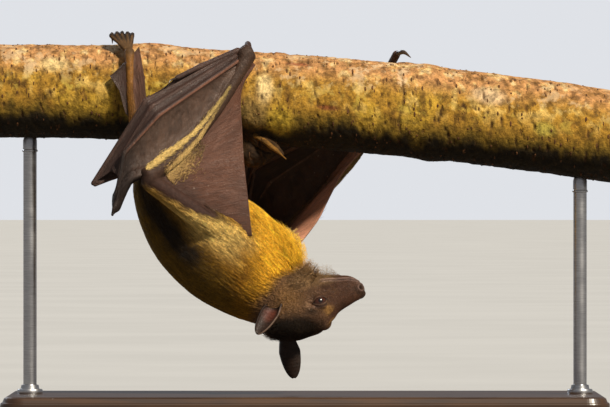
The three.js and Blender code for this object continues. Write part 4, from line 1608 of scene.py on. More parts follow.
@dataclass
class Fur:
    """The whole coat, grown form by form over the skin."""

    body: Body
    skin: Shape
    fullness: float = 1.22
    densest: float = 16.5
    width: float = 0.87
    lid_reach: float = 4.9

    def __post_init__(self) -> None:
        """Makes a finder for the nearest place on the skin."""
        self.tree = BVHTree.FromPolygons(self.skin.points.tolist(), self.skin.faces.tolist())

    def rate(self, points: Array) -> Array:
        """Tufts for each square mm at points."""
        share, places = self.body.weights(points)
        total = np.zeros(len(points))
        for form, weight, (_, where, _, _) in zip(self.body.forms, share, places):
            dense = np.full(len(points), form.coat.dense)
            if form.name == "head":
                dense = self.head_rate(points)
            if form.name.startswith("forearm"):
                dense = dense * ramp(self.body.forearm_ridge(form.name, where, points), 0.1, 0.6)
            if form.name.startswith("upper_arm"):
                dense = dense * ramp(where, 0.98, 0.84) * self.body.furred(form.name, points)
            total += weight * dense
        return self.fullness * total * ramp(Face.from_hollow(points), 3.0, 4.2)

    def head_rate(self, points: Array) -> Array:
        """Tufts for each square mm on the head: none on the nose, lips and lids, finest on the muzzle."""
        back, _, rise = HEAD.within(points).T
        rate = 7.0 + 5.0 * ramp(back, 34, 14)
        rate = rate * ramp(back, 2.5, 5.5)
        lips = hump(rise - Mouth.line(back), 1.5) * ramp(back, 26, 22)
        rate = rate * (1 - np.clip(1.5 * lips, 0, 1))
        for mirrored in Side:
            centre, outward, noseward, crownward = Face().eye_axes(mirrored)
            direction = unit(points - centre)
            near = (np.linalg.norm(points - centre, axis=1) < 8) & (direction @ outward > 0)
            gap = Face().gap(direction @ noseward * self.lid_reach, direction @ crownward * self.lid_reach)
            rate = rate * np.where(near, ramp(gap, 0.9, 2.2), 1)
        return rate

    def grow(self) -> list[tuple[str, Shape]]:
        """Grows the coat and parts it into pieces under the face limit."""
        grower = Tufts(self.skin)
        roots, normals = grower.roots(self.rate, self.densest)
        share, places = self.body.weights(roots)
        owner = np.argmax(share, axis=0)
        lengths, widths, stands = (np.zeros(len(roots)) for _ in range(3))
        lies, flat, strand = np.zeros((len(roots), 3)), np.zeros((len(roots), 2)), np.zeros((len(roots), 3))
        for index, (form, weight, (_, where, angle, lie)) in enumerate(zip(self.body.forms, share, places)):
            size = np.ones(len(roots))
            if form.name == "head":
                size = self.head_size(roots) * (0.4 + 0.6 * ramp(Face.from_hollow(roots), 3, 9))
            lengths += weight * form.coat.length * size
            widths += weight * self.width * form.coat.width * np.sqrt(size)
            stands += weight * form.coat.stand * size
            lies += weight[:, None] * lie
            mine = owner == index
            chart = self.chart(form.name)
            flat[mine, 0] = chart[0] + chart[2] * ((angle[mine] + 180) / 360)
            flat[mine, 1] = chart[1] + chart[3] * where[mine]
            girth = {"trunk": 32.0, "head": 16.0}.get(form.name, 7.0)
            turn = np.radians(angle[mine])
            along = 22 * where[mine] + 50 * index
            strand[mine] = np.stack([girth * np.cos(turn), girth * np.sin(turn), along], axis=1)
        streak = layered(strand, 1.3, 2, 61) * (0.34 - 0.2 * Markings.headness(roots, 5.0))
        wander = np.stack([layered(roots, 9, 3, 30 + k) for k in range(3)], axis=1)
        fine = np.stack([noise(roots, 2.2, 40 + k) for k in range(3)], axis=1)
        lies = unit(lies) + 0.22 * wander + 0.12 * fine
        lies = flattened(lies, normals)
        random = np.random.default_rng(9)
        lengths = lengths * random.uniform(0.7, 1.2, len(roots))
        stands = stands * random.uniform(0.35, 1.25, len(roots)) + self.ruff(roots, random)
        aimed = roots + lies * lengths[:, None]
        tips = np.empty_like(aimed)
        for index, aim in enumerate(aimed):
            place, normal, _, _ = self.tree.find_nearest(aim)
            tips[index] = (
                place[0] + normal[0] * stands[index],
                place[1] + normal[1] * stands[index],
                place[2] + normal[2] * stands[index],
            )
        tips = grower.clumped(roots, tips, 1.0, 0.3)
        tints = self.body.colours(roots) * (1 + streak)[:, None]
        groups = self.groups(owner, roots)
        result = []
        for name, mask in groups.items():
            if not mask.any():
                continue
            chosen = (part[mask] for part in (roots, normals, lies, tips, widths, stands, tints, flat))
            result.append((name, tuft_mesh(*chosen, 70 + len(result))))
        return result

    @staticmethod
    def head_size(points: Array) -> Array:
        """How long the head's hair is, as a share of its longest."""
        back = HEAD.within(points)[:, 0]
        rise = HEAD.within(points)[:, 2]
        size = np.interp(back, (3, 10, 22, 34, 48, 58), (0.22, 0.27, 0.36, 0.55, 0.85, 1.3))
        return size * (1 + 1.0 * ramp(rise, -9, -15) * ramp(back, 22, 32))

    @staticmethod
    def ruff(points: Array, random: np.random.Generator) -> Array:
        """Extra stand of the hairs that stick out under the throat and behind the crown."""
        back, _, rise = HEAD.within(points).T
        throat = ramp(back, 11, 20) * ramp(back, 46, 36) * ramp(HEAD.below(points), 11.5, 15.5)
        nape = hump(np.hypot(back - 62, rise - 14), 7)
        return random.uniform(0, 1, len(points)) ** 5 * (throat * 8.0 + nape * 4.5)

    @staticmethod
    def chart(name: str) -> tuple[float, float, float, float]:
        """Left, bottom, width and height of a form's place on the skin's unwrap."""
        charts = {
            "trunk": (0.0, 0.0, 0.6, 0.6), "head": (0.62, 0.0, 0.37, 0.6), "tail": (0.92, 0.62, 0.07, 0.1),
            "upper_arm_left": (0.0, 0.62, 0.2, 0.18), "upper_arm_right": (0.0, 0.81, 0.2, 0.18),
            "forearm_left": (0.22, 0.62, 0.2, 0.18), "forearm_right": (0.22, 0.81, 0.2, 0.18),
            "thigh_left": (0.44, 0.62, 0.2, 0.18), "thigh_right": (0.44, 0.81, 0.2, 0.18),
            "shank_left": (0.66, 0.62, 0.12, 0.18), "shank_right": (0.66, 0.81, 0.12, 0.18),
        }
        return charts.get(name, (0.8, 0.62, 0.1, 0.1))

    def groups(self, owner: Array, roots: Array) -> dict[str, Array]:
        """Which tufts go in each piece.

        Args:
            owner: the form each tuft grows on.
            roots: where it grows.

        Returns:
            For each piece, which tufts are in it.
        """
        names = [form.name for form in self.body.forms]
        trunk = owner == names.index("trunk")
        head = owner == names.index("head")
        where = self.body.trunk.locate(roots)[1]
        cuts = np.quantile(where[trunk], (0.25, 0.5, 0.75)) if trunk.any() else (0.3, 0.5, 0.7)
        back = HEAD.within(roots)[:, 0]
        middle = np.median(back[head]) if head.any() else 30
        far = np.isin(owner, [index for index, name in enumerate(names) if name.endswith("right")])
        return {
            "coat_rump": trunk & (where <= cuts[0]),
            "coat_flank": trunk & (where > cuts[0]) & (where <= cuts[1]),
            "coat_shoulder": trunk & (where > cuts[1]) & (where <= cuts[2]),
            "coat_collar": trunk & (where > cuts[2]),
            "coat_face": head & (back <= middle),
            "coat_crown": head & (back > middle),
            "coat_limbs_left": ~trunk & ~head & ~far,
            "coat_limbs_right": ~trunk & ~head & far,
        }


# ---------------------------------------------------------------- hands, feet, claws, eyes, ears


@dataclass
class Extremities:
    """Feet with their toes, thumbs and the claws of both."""

    toe: float = 1.12
    claw: float = 1.0

    def build(self, hide: Material, horn: Material) -> None:
        """Makes the feet, thumbs and claws of both sides."""
        for leg in LEGS:
            self.foot(leg, hide)
            for number, (_, _, end) in enumerate(leg.toe_points(), start=1):
                self.toe_claw(leg, number, end, horn)
        for wing in WINGS:
            self.thumb(wing, hide)
            word = wing.side.word
            stout = 1.1 if wing.side is Side.LEFT else 1.5
            self.hook(f"thumb_horn_{word}", wing.thumb_claw, stout, horn, f"thumb_claw_{word}")
            self.hook(f"finger_horn_{word}", wing.finger_claw, 0.7, horn, f"finger_claw_{word}")

    def foot(self, leg: Leg, hide: Material) -> None:
        """One foot: sole, toes with swollen joints, and tendons between.

        Args:
            leg: which leg.
            hide: the bare skin's material.
        """
        parts = [tube([leg.shin, leg.ankle, leg.sole], [2.3, 2.7, 3.3], 20, 24)]
        for root, knuckle, end in leg.toe_points():
            wide = self.toe
            parts.append(tube([root, (root + knuckle) / 2, knuckle, (knuckle + end) / 2, end],
                              [wide + 0.5, wide, wide + 0.3, wide - 0.15, wide + 0.15], 14, 30))
            parts.append(tube([leg.ankle, leg.sole, root], [0.9, 1.2, 1.3], 10, 16))
        shape = welded(Shape.joined(parts), 0.42, 2)
        normals = shape.normals()
        creases = layered(shape.points * np.array([1.0, 1.0, 0.5]), 1.3, 3, 12)
        shape.points = shape.points + normals * (creases * 0.12)[:, None]
        start = leg.sole[2] - 6
        warm = ramp(shape.points[:, 2], start, start + 9)
        tint = blend(plain(len(shape.points), (0.20, 0.082, 0.010)), (0.10, 0.052, 0.019), warm)
        # Painted shade in the creases between the toes and under them.
        tint = blend(tint, (0.018, 0.01, 0.006), self.between_toes(leg, shape.points))
        shape.values["tint"] = tint * (0.8 + 0.4 * ramp(noise(shape.points, 2.0, 14), -0.5, 0.6))[:, None]
        add_piece(f"foot_skin_{leg.side.word}", shape, hide, (f"foot_{leg.side.word}",))

    def between_toes(self, leg: Leg, points: Array) -> Array:
        """1 in the creases between the toes and under them, which are painted dark as painted shade."""
        reach = []
        for root, knuckle, end in leg.toe_points():
            line = straight(np.array([root, knuckle, end]), np.linspace(0, 1, 24))
            away = points[:, None] - line[None]
            away[..., 1] *= 0.35
            reach.append(np.sqrt(np.min(np.einsum("nmk,nmk->nm", away, away), axis=1)))
        nearest = np.min(np.stack(reach), axis=0)
        toes = ramp(np.linalg.norm(points - np.array(leg.sole), axis=1), 4.0, 7.0)
        return ramp(nearest, 0.65, 1.2) * toes * ramp(points[:, 2], leg.sole[2] - 1, leg.sole[2] + 3)

    def toe_claw(self, leg: Leg, number: int, end: Array, horn: Material) -> None:
        """One toe's claw, from inside the toe to the bark."""
        height = Branch.height(end[0]) + math.sqrt(Branch.radius**2 - leg.tip_y**2)
        tip = np.array([end[0], leg.tip_y, height + self.claw + 0.4])
        start = end + np.array([0, np.sign(leg.tip_y - leg.claw_y) * 0.6, -0.1])
        crest = start + (tip - start) * 0.5 + np.array([0, 0, 1.5])
        self.hook(f"toe_horn_{leg.side.word}_{number}", (start, crest, tip), self.claw, horn,
                  f"claw_{leg.side.word}_{number}")

    def hook(self, name: str, points: Sequence, radius: float, horn: Material, node: str) -> None:
        """One hooked claw."""
        shape = tube(np.array(points, float), [radius, radius * 0.82, 0.22], 16, 18)
        start, end = np.array(points[0]), np.array(points[-1])
        reach = (shape.points - start) @ unit(end - start) / np.linalg.norm(end - start)
        shape.values["along"] = np.clip(reach, 0, 1)
        add_piece(name, shape, horn, (node,))

    def thumb(self, wing: Wing, hide: Material) -> None:
        """One thumb with its joints."""
        points = np.array([wing.wrist, *wing.thumb], float)
        thick = [3.0, 2.0, 1.9, 1.75] if wing.side is Side.LEFT else [3.0, 2.3, 2.5, 2.4]
        shape = welded(Shape.joined([tube(points, thick, 20, 40)]), 0.45, 2)
        normals = shape.normals()
        shape.points = shape.points + normals * (layered(shape.points, 1.6, 3, 16) * 0.14)[:, None]
        tint = plain(len(shape.points), (0.055, 0.026, 0.016))
        shape.values["tint"] = tint * (0.85 + 0.35 * ramp(noise(shape.points, 2.4, 14), -0.5, 0.6))[:, None]
        add_piece(f"thumb_skin_{wing.side.word}", shape, hide, (f"thumb_{wing.side.word}",))


def eyeball(side: Side) -> Shape:
    """One eye with its raised cornea, and the reach of each point from the middle of the pupil.

    Args:
        side: which eye.

    Returns:
        The ball, with how far each point is from its pupil.
    """
    centre, outward, noseward, crownward = Face().eye_axes(side)
    radius = HEAD.eye[3]
    rows, sides = 40, 64
    lean = np.linspace(0, np.pi, rows + 2)[1:-1]
    turn = turns(sides)
    bulge = radius * (1 + 0.05 * hump(np.degrees(lean), 34))
    ring = np.cos(turn)[None, :, None] * noseward + np.sin(turn)[None, :, None] * crownward
    loops = centre + bulge[:, None, None] * (
        np.cos(lean)[:, None, None] * outward + np.sin(lean)[:, None, None] * ring
    )
    shape = loft(loops, centre + outward * radius * 1.05, centre - outward * radius)
    slope = np.clip(unit(shape.points - centre) @ outward, -1, 1)
    shape.values["reach"] = np.arccos(slope) / math.radians(58)
    return shape


@dataclass
class Ear:
    """One ear: a pointed leaf curled round its long axis, with a rolled rim and fine ribs inside."""

    side: Side
    back: float
    angle: float
    along: Triple
    open: Triple
    length: float = 25.0
    half: float = 6.6
    curl: float = 1.15

    def shape(self) -> Shape:
        """The ear as a closed sheet with its colours."""
        turn = math.radians(self.angle)
        rise, high, wide = HEAD.ring(self.back)
        root = HEAD.at(self.back, self.side.value * wide * math.cos(turn), rise + high * math.sin(turn))
        up = unit(np.array(self.along, float))
        facing = unit(np.array(self.open, float) - up * (np.array(self.open, float) @ up))
        across = np.cross(up, facing)
        s, t = np.meshgrid(np.linspace(0, 1, 64), np.linspace(0, 1, 40), indexing="ij")
        half = self.half * np.sqrt(np.maximum(1 - np.maximum(s * 1.25 - 0.25, 0) ** 2.2, 0.006))
        half = half * np.interp(s, (0, 0.2, 0.45), (0.35, 0.70, 1.0))
        curl = self.curl * (1 - 0.45 * s) * (1 + 0.25 * ramp(s, 0.35, 0.0))
        swing = (t * 2 - 1) * curl
        out = np.abs(t * 2 - 1)
        deep = 0.12 if self.side is Side.LEFT else 0.05
        ribs = deep * np.sin(s * 88) * ramp(s, 0.3, 0.5) * ramp(out, 0.95, 0.6)
        rim = 0.35 * ramp(out, 0.8, 0.97)
        middle = (
            root
            + up * (-4 + (self.length + 4) * s)[..., None]
            + across * (half * np.sin(swing) / curl)[..., None]
            + facing * (-half * np.cos(swing) / curl + half / curl - half * 0.08 + ribs + rim)[..., None]
        )
        thick = 0.34 + 0.3 * ramp(s, 0.4, 0.0) + 0.16 * ramp(out, 0.86, 0.98)
        shape = plate(middle, thick)
        front = np.tile(1 - t.ravel() if self.side is Side.LEFT else t.ravel(), 2)
        inside = np.tile(s.ravel(), 2), np.tile(out.ravel(), 2)
        normals = shape.normals()
        inward = ramp(normals @ facing, -0.1, 0.25)
        shape.values["tint"] = self.tints(inside[0], inside[1], front, inward, shape.points)
        return shape

    def tints(self, up: Array, out: Array, front: Array, inward: Array, points: Array) -> Array:
        """Pink-brown inside towards the root, painted shade deep in the hollow, grey-brown tip, a pale rim
        of painted highlight along the front edge, brown back; the far ear is painted darker as painted
        shade.
        """
        inner = plain(len(up), (0.027, 0.014, 0.0095))
        inner = blend(inner, (0.105, 0.026, 0.013), hump(up - 0.46, 0.16) * ramp(out, 0.95, 0.2))
        # Painted shade: near black deep in the hollow at the ear's root.
        inner = blend(inner, (0.006, 0.003, 0.002), ramp(up, 0.37, 0.27) * ramp(out, 0.98, 0.7))
        outer = plain(len(up), (0.030, 0.015, 0.009))
        colour = outer + (inner - outer) * inward[:, None]
        # Painted highlight: a pale line along the front rim.
        colour = blend(colour, (0.15, 0.095, 0.066), ramp(front, 0.975, 1.0) * ramp(up, 0.2, 0.35) * 0.75)
        # Painted shade: the far ear at 0.6 of the near one's colour.
        shade = 1.0 if self.side is Side.LEFT else 0.6
        return colour * shade * (0.85 + 0.3 * ramp(noise(points, 2.0, 33), -0.6, 0.6))[:, None]


EARS = (
    Ear(Side.LEFT, 52.8, 13, (-12.2, -12, -19.4), (-0.2, -0.95, 0.25)),
    Ear(Side.RIGHT, 52.5, 33, (4.6, 2, -22.5), (0.30, 0.93, 0.1), half=7.4, curl=0.95),
)


# ---------------------------------------------------------------- wings


@dataclass
class Sheet:
    """One membrane between two lines, with its wrinkles and colour."""

    name: str
    one: Array
    other: Array
    sag: float = 0.0
    out: float = 1.0
    edge_one: tuple[float, float] = (1.2, 0.0)
    edge_other: tuple[float, float] = (1.2, 0.0)
    wrinkle: float = 0.35
    tint: Triple = (0.09, 0.05, 0.034)
    far_tint: Triple | None = None
    lines: tuple[float, float] = (3.0, 0.5)
    cells: tuple[int, int] = (90, 40)
    curved: tuple[bool, bool] = (False, False)
    thin: float = 0.26
    tip_tint: Triple | None = None
    root_shade: float = 1.0

    def grid(self) -> tuple[Array, Array, Array]:
        """Middle points of the sheet, with the share along and across of each."""
        rows, columns = self.cells
        along, over = np.linspace(0, 1, rows), np.linspace(0, 1, columns)
        first = (through if self.curved[0] else straight)(self.one, along)
        second = (through if self.curved[1] else straight)(self.other, along)
        middle = first[:, None] + (second - first)[:, None] * over[None, :, None]
        s, t = np.meshgrid(along, over, indexing="ij")
        middle[..., 1] += self.out * self.sag * np.sin(np.pi * s) * np.sin(np.pi * t)
        return middle, s, t

    def swell(self, away: Array, edge: tuple[float, float]) -> Array:
        """Extra half thickness beside a bone: its height at the edge, and the radius it keeps it for."""
        height, keep = edge
        return (height - self.thin) * np.exp(-np.maximum(away - keep, 0) / 1.4)

    def shape(self) -> Shape:
        """The sheet, swelling smoothly into the bones at its two edges."""
        middle, s, t = self.grid()
        width = np.linalg.norm(middle[:, -1] - middle[:, 0], axis=1)[:, None]
        length = np.linalg.norm(np.diff(middle.mean(axis=1), axis=0), axis=1).sum()
        away_one, away_other = t * width, (1 - t) * width
        flat = np.stack([s * length, t * width, np.zeros_like(s)], axis=-1).reshape(-1, 3)
        folds = layered(flat / np.array([*self.lines, 1.0]), 2.6, 3, len(self.name))
        fade = ramp(np.minimum(away_one, away_other), 0, 3).ravel()
        fade = fade * ramp(np.minimum(s, 1 - s).ravel(), 0, 0.05)
        normal = unit(np.cross(np.gradient(middle, axis=0), np.gradient(middle, axis=1)))
        middle = middle + normal * (folds * self.wrinkle * fade).reshape(s.shape)[..., None]
        half = self.thin + self.swell(away_one, self.edge_one) + self.swell(away_other, self.edge_other)
        ends = np.sqrt(np.clip(np.minimum(s, 1 - s) * length / 1.5, 0.12, 1))
        shape = plate(middle, half * ends)
        tint = plain(s.size, self.tint)
        if self.far_tint is not None:
            tint = blend(tint, self.far_tint, ramp(t.ravel(), 0.0, 0.55))
        if self.tip_tint is not None:
            tint = blend(tint, self.tip_tint, ramp(s.ravel(), 0.52, 0.8))
        tint = tint * (self.root_shade + (1 - self.root_shade) * ramp(s.ravel(), 0.06, 0.42))[:, None]
        patches = layered(flat, 16, 3, 2 + len(self.name))
        tint = tint * (1 + 0.3 * folds * fade + 0.16 * patches)[:, None]
        shape.values["tint"] = np.concatenate([tint, tint])
        local = np.stack([s * length / 300, t * width / 300], axis=-1).reshape(-1, 2)
        if self.lines[0] > self.lines[1]:
            local = local[:, ::-1]
        shape.flat, shape.chart = np.concatenate([local, local + np.array([0.5, 0.0])]), "GrainMap"
        return shape


@dataclass
class WingSkin:
    """Membranes and fingers of one wing, as one piece, with the side and tail membranes."""

    wing: Wing
    leg: Leg
    finger_radii: tuple[float, ...] = (1.7, 1.55, 1.35, 0.8)
    fold_radii: tuple[float, ...] = (1.35, 1.2, 1.0, 0.8)

    def sheets(self) -> list[Sheet]:
        """Every membrane of the wing."""
        wing, leg = self.wing, self.leg
        near = wing.side is Side.LEFT
        out = 1.0 if near else -1.0
        five = wing.fingers[5]
        upper, fore = wing.upper_arm((0.1, 0.5)), wing.forearm((0.25, 0.48, 0.72, 0.97))
        bones = np.concatenate([upper, [wing.elbow], fore])
        edge = through(wing.leading, np.array([1, 0.8, 0.6, 0.46, 0.3, 0.15, 0]))
        hand = np.concatenate([straight(five, np.array([0.03, 0.2])), np.array(five[1:4])])
        inner = np.concatenate([wing.forearm((0.93, 0.5, 0.1)), np.array(wing.trailing)])
        rusty, brown = (0.125, 0.05, 0.028), (0.058, 0.028, 0.019)
        # Painted light: the far wing's fore membrane is far brighter than the near one's, standing in for
        # light through it; the near one keeps its rusty edge.
        lit = (0.60, 0.28, 0.175) if not near else rusty
        # Painted shade: the far wing's arm and hand membranes are darker than the near ones.
        arm_tint = (0.088, 0.05, 0.034) if near else (0.055, 0.029, 0.019)
        hand_tint = (0.046, 0.023, 0.017) if near else (0.036, 0.019, 0.013)
        result = [
            Sheet("fore", bones, edge, 3, out, (2.9, 4.0), (0.5, 0.0), 0.3, brown, lit, (0.6, 3.0),
                  (150, 80), (False, True), 0.26, None, 0.62 if near else 1.0),
            Sheet("arm", inner, hand, 4, out, (2.6, 4.2), (1.3, 0.9), 0.6, arm_tint, None, (1.1, 1.3),
                  (140, 60), (True, False), 0.26, (0.026, 0.014, 0.010)),
            self.minus(hand_tint, out),
        ]
        for number in (3, 4):
            one = self.from_wrist(wing.fingers[number][:3])
            other = self.from_wrist(wing.fingers[number + 1][:3])
            if number == 4:
                other = np.concatenate([other, straight(five, np.array([0.8]))])
                one = np.concatenate([one, [one[-1] + (other[-1] - one[-1]) * 0.35]])
            result.append(Sheet(f"hand{number}", one, other, 0, out, (1.25, 0.8), (1.25, 0.8), 0.35,
                                hand_tint, None, (3.5, 0.6), (110, 20)))
        for number, fold in wing.folds.items():
            bone, tip = np.array(wing.fingers[number][1:3]), np.array(fold)[::-1]
            result.append(Sheet(f"fold{number}", bone, tip, 0, out, (1.25, 0.8), (1.1, 0.6), 0.3,
                                hand_tint, None, (3.5, 0.6), (60, 12)))
        limb_line = np.array([
            *straight([leg.sole, leg.ankle], np.array([0.4])), leg.ankle, leg.shin, leg.knee,
            *straight([leg.hip, leg.knee], np.array([0.5])), leg.hip,
        ])
        # Painted shade: the far wing's side and tail membranes are darker than the near ones.
        leg_tint = (0.12, 0.055, 0.034) if near else (0.05, 0.025, 0.016)
        flap = (0.095, 0.046, 0.034) if near else leg_tint
        result.append(Sheet("side", limb_line, np.array(wing.flank), 0, out, (1.6, 2.0), (0.5, 0.0), 0.45,
                            leg_tint, None, (3.0, 0.9), (120, 40)))
        calf = np.array([
            *straight([leg.ankle, leg.sole], np.array([0.3])),
            *straight([leg.ankle, leg.shin], np.array([0.2])),
            leg.shin, *straight([leg.shin, leg.knee], np.array([0.5])),
        ])
        result.append(Sheet("tail", calf, np.array(leg.calcar), 0, out, (1.3, 2.0), (0.7, 0.2), 0.3,
                            flap, (0.05, 0.026, 0.018), (2.0, 0.8), (70, 26)))
        return result

    @staticmethod
    def from_wrist(joints: Sequence[Triple]) -> Array:
        """A finger's line with a point close to the wrist in place of its first."""
        line = np.array(joints, float)
        line[0] += (line[1] - line[0]) * 0.06
        return line

    def minus(self, tint: Triple, out: float) -> Sheet:
        """The small membrane between fingers 2 and 3."""
        second = self.from_wrist(self.wing.fingers[2])
        third = straight(self.wing.fingers[3][:2], np.array([0.03, 0.5, 1.0]))
        return Sheet("minus", second, third, 0, out, (1.2, 0.8), (1.2, 0.8), 0.3,
                     tint, None, (3.5, 0.6), (80, 14))

    def finger(self, number: int) -> list[Shape]:
        """One finger's bones with swollen joints, and its folded last bone."""
        joints = self.wing.fingers[number]
        near = self.wing.side is Side.LEFT
        # Painted light: the far wing's fingers are lighter than the near ones.
        skin = (0.058, 0.029, 0.021) if near else (0.11, 0.06, 0.038)
        parts = [self.rod(np.array(joints), self.finger_radii[: len(joints)], skin)]
        if number == 5:
            # Finger 5 gets painted highlight lines along its crest and painted shadow beside them and past
            # its bend.
            parts[0] = self.crest_light_and_shade(parts[0])
        if number in self.wing.folds:
            parts.append(self.rod(np.array(self.wing.folds[number]), self.fold_radii, skin))
        return parts

    def crest_light_and_shade(self, shape: Shape) -> Shape:
        """A finger with two pale painted highlight lines along the crest of its outer face and a dark
        painted shadow line between, and its bone past the bend darkened as painted shadow.
        """
        axis = unit(np.array(self.wing.fingers[5][1], float) - np.array(self.wing.fingers[5][0], float))
        sideways = unit(np.cross(axis, np.array([0.0, 1.0, 0.0])))
        place = shape.normals() @ sideways
        place = place * np.sign(-sideways[2])
        outer = ramp(shape.normals()[:, 1] * (1 if self.wing.side is Side.LEFT else -1), 0.1, -0.4)
        start, bend = (np.array(self.wing.fingers[5][k], float) for k in (0, 2))
        far = (shape.points - start) @ axis / np.linalg.norm(bend - start)
        # Painted highlight lines on the crest, and painted shadow past the bend and in a line beside them,
        # chosen by which way the skin faces.
        pale = (hump(place - 0.12, 0.13) + hump(place - 0.7, 0.12)) * outer * ramp(far, 1.02, 0.85)
        tint = blend(shape.values["tint"], (0.02, 0.011, 0.008), ramp(far, 0.92, 1.02))
        tint = blend(tint, (0.32, 0.135, 0.08), np.clip(pale, 0, 1) * 0.9)
        shape.values["tint"] = blend(tint, (0.02, 0.01, 0.008), hump(place + 0.6, 0.25) * outer * 0.8)
        return shape

    def rod(self, points: Array, radii: Sequence[float], tint: Triple) -> Shape:
        """One bone line under thin skin."""
        shape = tube(points, list(radii), 14, 90, curved=False)
        span = np.zeros(len(shape.points))
        for joint in points[1:-1]:
            span += hump(np.linalg.norm(shape.points - joint, axis=1), 3.2)
        shape.points = shape.points + shape.normals() * (0.3 * span)[:, None]
        veins = layered(shape.points, 3.0, 3, 51)
        # Painted highlight: each joint's swelling is painted lighter.
        shape.values["tint"] = plain(len(span), tint) * (1 + 0.3 * veins + 0.3 * span)[:, None]
        shape.flat = np.stack([shape.points[:, 0] / 300 + 0.5, shape.points[:, 2] / 300], axis=-1)
        return shape

    def build(self, finish: Material) -> list[Shape]:
        """Makes the wing's piece.

        Args:
            finish: the membrane's material.

        Returns:
            The sheets, for the hair that grows on them.
        """
        word = self.wing.side.word
        sheets = [sheet.shape() for sheet in self.sheets()]
        rods = [part for number in (2, 3, 4, 5) for part in self.finger(number)]
        nodes = [f"{kind}_membrane_{word}" for kind in ("fore", "arm", "side", "tail")]
        nodes += [f"hand_membrane_{word}_{number}" for number in (3, 4)]
        nodes += [f"finger_{word}_{number}" for number in (2, 3, 4, 5)]
        add_piece(f"wing_skin_{word}", Shape.joined(sheets + rods), finish, nodes)
        return sheets


# ---------------------------------------------------------------- branch and stand


